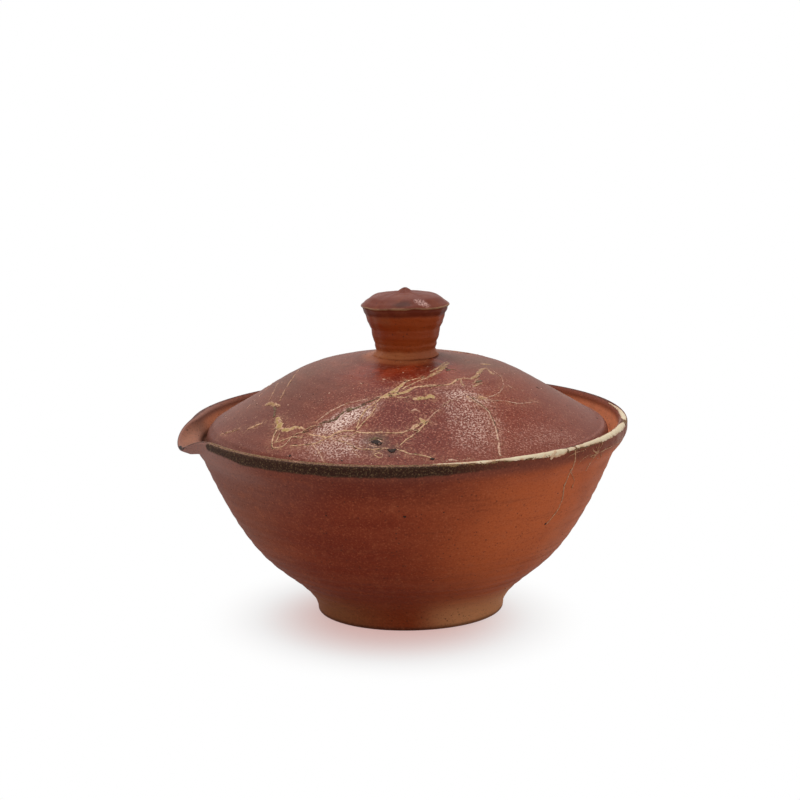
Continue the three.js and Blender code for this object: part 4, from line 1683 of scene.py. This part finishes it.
# %% Drape the thinner strands
# a straw cord has several strands, so thinner ones wander beside the main one and cross it
STRAND = dict(
    Thickness=0.05 * MM,
    Width_Share=0.42,
    Wander=0.6 * MM,
    Gap_Share=0.5,
    Gap_Size=1.1 * MM,
)
for name, routes, ash, seed in (
    ("straw_strands", STRAW_ROUTES, pale_ash, 31.0),
    ("straw_fibres", STRAW_ROUTES, straw_ash, 47.0),
    ("faded_fibres", FADED_ROUTES, straw_ash, 52.0),
    ("pale_strands", PALE_ROUTES, pale_ash, 58.0),
    ("scorched_strands", STRAW_ROUTES + OLIVE_ROUTES, olive_ash, 64.0),
):
    lid_marks[name] = drape(name, find_routes(seen_on_lid, routes), lid, ash, Seed=seed, **STRAND)

# %% [markdown]
# ## The side that the picture doesn't show
#
# The cord went all the way round, so its ash lies on the far side of the lid too. Nobody can read
# its routes there, so these few are drawn freely, as places on the lid seen from above.

# %% Drape the cord marks on the far side
FAR_STRAW_ROUTES = [
    (0.4, [(-34, 12), (-25, 22), (-14, 27, 0.8), (-4, 28, 1.1), (6, 34), (18, 37)]),
    (0.35, [(-4, 28), (4, 21), (10, 12, 0.7), (19, 8), (31, 9)]),
    (0.9, [(-15, 27, 0.5), (-12, 29, 1.6), (-7, 28.5, 1.2), (-3, 31, 0.5)]),
    (0.3, [(29, 25), (33, 17), (40, 12)]),
]
FAR_PALE_ROUTES = [
    (0.3, [(-4, 28), (-9, 37), (-17, 44)]),
    (0.3, [(6, 34), (4, 42), (8, 47)]),
    (0.25, [(19, 8), (24, 14), (29, 25), (27, 35)]),
    (0.25, [(-44, -2), (-38, 5), (-34, 12), (-36, 21)]),
]


def on_lid(place):
    """The place on the lid under a point seen from above, in millimetres."""
    above = Vector((*mm(*place), lid_high.z + RIM_HEIGHT))
    return lid_surface.ray_cast(above, Vector((0, 0, -1)))[0]


for name, routes, ash, seed in (
    ("far_straw_marks", FAR_STRAW_ROUTES, straw_ash, 71.0),
    ("far_pale_marks", FAR_PALE_ROUTES, pale_ash, 82.0),
):
    inputs = dict(Thickness=0.06 * MM, Wander=0.5 * MM, Seed=seed)
    lid_marks[name] = drape(name, find_routes(on_lid, routes), lid, ash, **inputs)

# %% [markdown]
# ## Dust round the marks
#
# A cord that burns away dusts the clay beside it. This tree measures how near each point of the lid
# lies to the marks and keeps that as a named value, which the lid's material reads as "dust".


# %% Dust the lid
def build_ash_dust():
    tree, take = start_tree(
        "Ash Dust",
        "GeometryNodeTree",
        {
            "Lid": ("Geometry", None),
            "Thick Marks": ("Object", None),
            "Thin Marks": ("Object", None),
            "Reach": ("Float", 2.6 * MM),
            "Clay": ("Material", None),
        },
        {"Dusted": "Geometry"},
    )
    near = 0.0
    for label, weight in (("Thick Marks", 0.9), ("Thin Marks", 0.55)):
        marks = add(tree, "GeometryNodeObjectInfo", {"Object": take[label]})["Geometry"]
        away = add(tree, "GeometryNodeProximity", {0: marks}, target_element="FACES")["Distance"]
        near = (away.smooth(take["Reach"], 0.0) * weight).math("MAXIMUM", near)
    return end_tree(tree, Dusted=clad(store(take["Lid"], "dust", near), take["Clay"]))


marks = dict(Thick_Marks=lid_marks["straw_marks"], Thin_Marks=lid_marks["pale_marks"])
grow(lid, build_ash_dust(), Clay=lid_clay, **marks)
lid = settle("stoneware_lid", lid, keep=("along", "dust"))

# %% [markdown]
# ## Ash on the lip
#
# On the right the flying ash built up into a cream crust on the crest of the lip, broad in front,
# broken further on, with two torn drips. It is draped like the threads, along a route that follows
# the crest. On the left only a thin tan line of ash lies there. Fine hairs of straw hang from the
# crust down the bowl, and one ends in a burnt dot.


# %% Crust the lip
def on_crest(degrees, lean):
    """A place on the crest of the lip, by its angle from the front towards the right. The lean is
    the angle above the horizontal at which it lies on the rounded crest."""
    turn, lean = math.radians(degrees), math.radians(lean)
    around = picture_front * math.cos(turn) + camera_right * math.sin(turn)
    radius = RIM_RADIUS - CREST_RADIUS + math.cos(lean) * CREST_RADIUS
    height = RIM_HEIGHT - CREST_RADIUS + math.sin(lean) * CREST_RADIUS
    return around * radius + Vector((0, 0, height))


CREAM_RUNS = [
    # angle from the front in degrees, width in millimetres, lean on the crest in degrees
    [(6, 0.4, 88), (10, 0.9, 86), (14, 0.9, 84), (17, 1.0, 77), (18.5, 1.5, 72), (20, 1.0, 73),
     (22, 0.8, 73), (25, 1.1, 69), (28, 1.6, 67), (31, 1.8, 65), (35, 2.1, 60), (38.5, 2.5, 53),
     (41, 2.7, 47), (42.6, 1.8, 50), (43.8, 0.5, 60)],
    [(44.2, 1.0, 54), (45.4, 1.3, 55), (46.8, 0.8, 56)],
    [(47.4, 0.8, 57), (50, 1.2, 57), (54, 1.4, 58), (58, 1.9, 57), (62, 2.0, 57), (66, 2.1, 57),
     (70, 2.3, 58), (74, 2.4, 60), (77, 1.9, 62), (78.6, 0.8, 66)],
    [(82, 1.0, 70), (85, 1.8, 80), (89, 1.6, 92), (94, 1.0, 104), (99, 0.6, 112), (105, 0.3, 120)],
]
TAN_RUNS = [
    [(-62, 0.4, 88), (-54, 0.7, 84), (-46, 0.5, 86), (-38, 0.8, 84), (-30, 0.5, 86),
     (-22, 0.7, 84), (-14, 0.5, 84), (-6, 0.6, 84), (2, 0.7, 84), (8, 0.5, 84)],
    [(7, 0.8, 62), (12, 1.0, 58), (17, 1.1, 60), (21, 1.3, 64), (25, 1.1, 58), (28, 0.6, 50)],
    [(30, 0.5, 34), (36, 0.7, 30), (41, 1.0, 28)],
    [(43, 1.2, 42), (46, 1.1, 42), (49, 0.8, 40), (56, 0.8, 36), (62, 0.9, 34), (70, 0.9, 30),
     (76, 0.6, 30)],
    [(78, 1.6, 52), (82, 1.2, 48), (86, 1.2, 44)],
]
CREAM_CRUST = dict(
    Thickness=0.17 * MM,
    Wander=0.1 * MM,
    Raggedness=0.35,
    Rag_Size=1.8 * MM,
    Gap_Share=0.28,
    Seed=9.0,
)
TAN_CRUST = dict(
    Thickness=0.1 * MM,
    Wander=0.2 * MM,
    Raggedness=1.0,
    Rag_Size=0.7 * MM,
    Gap_Share=0.46,
    Seed=14.0,
)

cream_ash = mix_ash("cream_ash", fired(208, 188, 160), fired(180, 140, 108), 0.5, 1.3 * MM,
                   glass=fired(204, 190, 160))
tan_ash = mix_ash("tan_ash", fired(132, 104, 70), fired(84, 54, 34), 0.6, 0.4 * MM)
bowl_marks = {}
for name, runs, ash, inputs in (
    ("cream_crust", CREAM_RUNS, cream_ash, CREAM_CRUST),
    ("tan_crust", TAN_RUNS, tan_ash, TAN_CRUST),
):
    found = [[(on_crest(degrees, lean), wide) for degrees, wide, lean in run] for run in runs]
    bowl_marks[name] = drape(name, found, bowl, ash, Sides=14, **inputs)

# %% Hang the drips and the hairs
DRIP_ROUTES = [
    (0.6, [(556, 452), (553, 455, 1.2), (550.5, 459.5, 0.5)]),
    (0.5, [(545, 455), (542, 458.5, 0.3)]),
]
HAIR_ROUTES = [
    (0.44, [(575, 449), (575.3, 457), (573.5, 466), (568, 476.7), (564, 487), (562.8, 496),
            (560, 505, 0.4), (556, 512, 0.42), (551, 518.5, 0.34), (546.5, 523.5)]),
    (0.34, [(591, 445), (593.5, 450), (596, 454), (592, 460, 0.4), (588.5, 465.5, 0.44),
            (586, 470.5, 0.36)]),
    (0.26, [(599.5, 441.5), (598.6, 448), (596, 454)]),
    (0.2, [(587, 457), (596, 454), (606, 449), (612, 446), (618, 442.5)]),
    (0.16, [(589, 446), (594, 451), (601, 452), (606, 448)]),
    (0.16, [(592, 457), (598, 452), (602, 444), (604, 436)]),
    (0.16, [(566, 459), (570, 456), (577, 452), (584, 451)]),
    (0.14, [(585, 449), (590, 456), (598, 458)]),
    (0.14, [(602, 456), (598, 451), (596, 446)]),
    (0.14, [(578, 464), (584, 458), (590, 455), (597, 455)]),
    (0.14, [(570, 470), (574, 480), (571, 488)]),
    (0.14, [(600, 449), (601, 456), (598, 462)]),
]
BURNT_HAIR_ROUTES = [
    (0.7, [(546, 523), (545, 524.8)]),
    (0.3, [(566, 482), (564, 488), (562.5, 492)]),
    (0.5, [(403, 516.5), (406, 516.8)]),
    (0.4, [(325, 515), (326.4, 515.6)]),
    (0.9, [(179.6, 446.2), (181, 448, 1.3), (184, 448.8, 0.5)]),
]
HAIR = dict(Thickness=0.09 * MM, Wander=0.2 * MM, Raggedness=0.3, Gap_Share=0.3, Sides=6)
for name, routes, ash, inputs in (
    ("rim_drips", DRIP_ROUTES, cream_ash, dict(Thickness=0.25 * MM)),
    ("straw_hairs", HAIR_ROUTES, hair_ash, HAIR),
    ("burnt_hairs", BURNT_HAIR_ROUTES, burnt_clay, dict(Thickness=0.06 * MM)),
):
    bowl_marks[name] = drape(name, find_routes(seen_on_bowl, routes), bowl, ash, **inputs)

# %% [markdown]
# ## Grit
#
# Wood-fired clay is coarse. Grains of feldspar push through the skin and iron spots burn out of it.
# They are scattered: points at a smallest distance from each other, a squashed and turned grain on
# each, half sunk in the clay. Grit lies all over a pot, also where the picture doesn't reach.


# %% Scatter the grit
def build_grit():
    tree, take = start_tree(
        "Scattered Grit",
        "GeometryNodeTree",
        {
            "Piece": ("Geometry", None),
            "Spacing": ("Float", 1.6 * MM),
            "Per Square Metre": ("Float", 90000.0),
            "Smallest": ("Float", 0.08 * MM),
            "Largest": ("Float", 0.26 * MM),
            "Lowest": ("Float", 1 * MM),
            "Seed": ("Int", 1),
            "Grain": ("Material", None),
        },
        {"Grit": "Geometry"},
    )
    height = split(add(tree, "GeometryNodeInputPosition"))[2]
    inputs = {
        "Mesh": take["Piece"],
        "Selection": height.math("GREATER_THAN", take["Lowest"]),
        "Distance Min": take["Spacing"],
        "Density Max": take["Per Square Metre"],
        "Density Factor": 1.0,
        "Seed": take["Seed"],
    }
    kind = "GeometryNodeDistributePointsOnFaces"
    points = add(tree, kind, inputs, distribute_method="POISSON")
    inputs = {"Rotation": points["Rotation"], "Vector": points["Normal"]}
    turn = add(tree, "FunctionNodeAlignRotationToVector", inputs, axis="Z")
    inputs = {"Min": 0.0, "Max": 1.0, "Seed": take["Seed"]}
    drawn = add(tree, "FunctionNodeRandomValue", inputs) ** 3
    size = drawn * (take["Largest"] - take["Smallest"]) + take["Smallest"]
    blob = add(tree, "GeometryNodeMeshIcoSphere", {"Radius": 1, "Subdivisions": 2})
    ripple = noise(tree, add(tree, "GeometryNodeInputPosition"), 1.1, 2.0) - 0.5
    blob = move(blob, Offset=add(tree, "GeometryNodeInputNormal") * ripple)
    inputs = {
        "Points": points,
        "Instance": blob,
        "Rotation": turn,
        "Scale": join(tree, size, size * 0.8, size * 0.4),
    }
    grit = add(tree, "GeometryNodeInstanceOnPoints", inputs)
    grit = add(tree, "GeometryNodeRealizeInstances", {"Geometry": grit})
    return end_tree(tree, Grit=clad(grit, take["Grain"]))


scattered_grit = build_grit()


def scatter(name, piece, grain, **inputs):
    """Grit over a piece, as a piece of its own."""
    copy = new_object(name, piece.data.copy())
    return settle(name, grow(copy, scattered_grit, Grain=grain, **inputs))


LID_GRIT_FROM = LEDGE_HEIGHT + 4.5 * MM
BOWL_GRIT_FROM = 1.5 * MM
for name, piece, grain, spacing, density, smallest, largest, lowest, seed in (
    ("lid_iron", lid, burnt_clay, 1.7, 70000.0, 0.06, 0.2, LID_GRIT_FROM, 4),
    ("lid_feldspar", lid, feldspar_grain, 2.6, 40000.0, 0.06, 0.24, LID_GRIT_FROM, 8),
    ("bowl_iron", bowl, burnt_clay, 2.2, 40000.0, 0.05, 0.2, BOWL_GRIT_FROM, 6),
):
    inputs = dict(
        Spacing=spacing * MM,
        Per_Square_Metre=density,
        Smallest=smallest * MM,
        Largest=largest * MM,
        Lowest=lowest,
        Seed=seed,
    )
    marks = lid_marks if piece is lid else bowl_marks
    marks[name] = scatter(name, piece, grain, **inputs)

# %% Ride on the bodies
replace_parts(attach(bowl, "pot"), "bowl")
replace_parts(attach(lid, "cover"), "lid")
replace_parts(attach(knob, "cover"), "knob")
for mark in lid_marks.values():
    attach(mark, "cover")
for mark in bowl_marks.values():
    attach(mark, "pot")
print(f"{len(lid_marks)} marks ride on the cover and {len(bowl_marks)} on the pot")
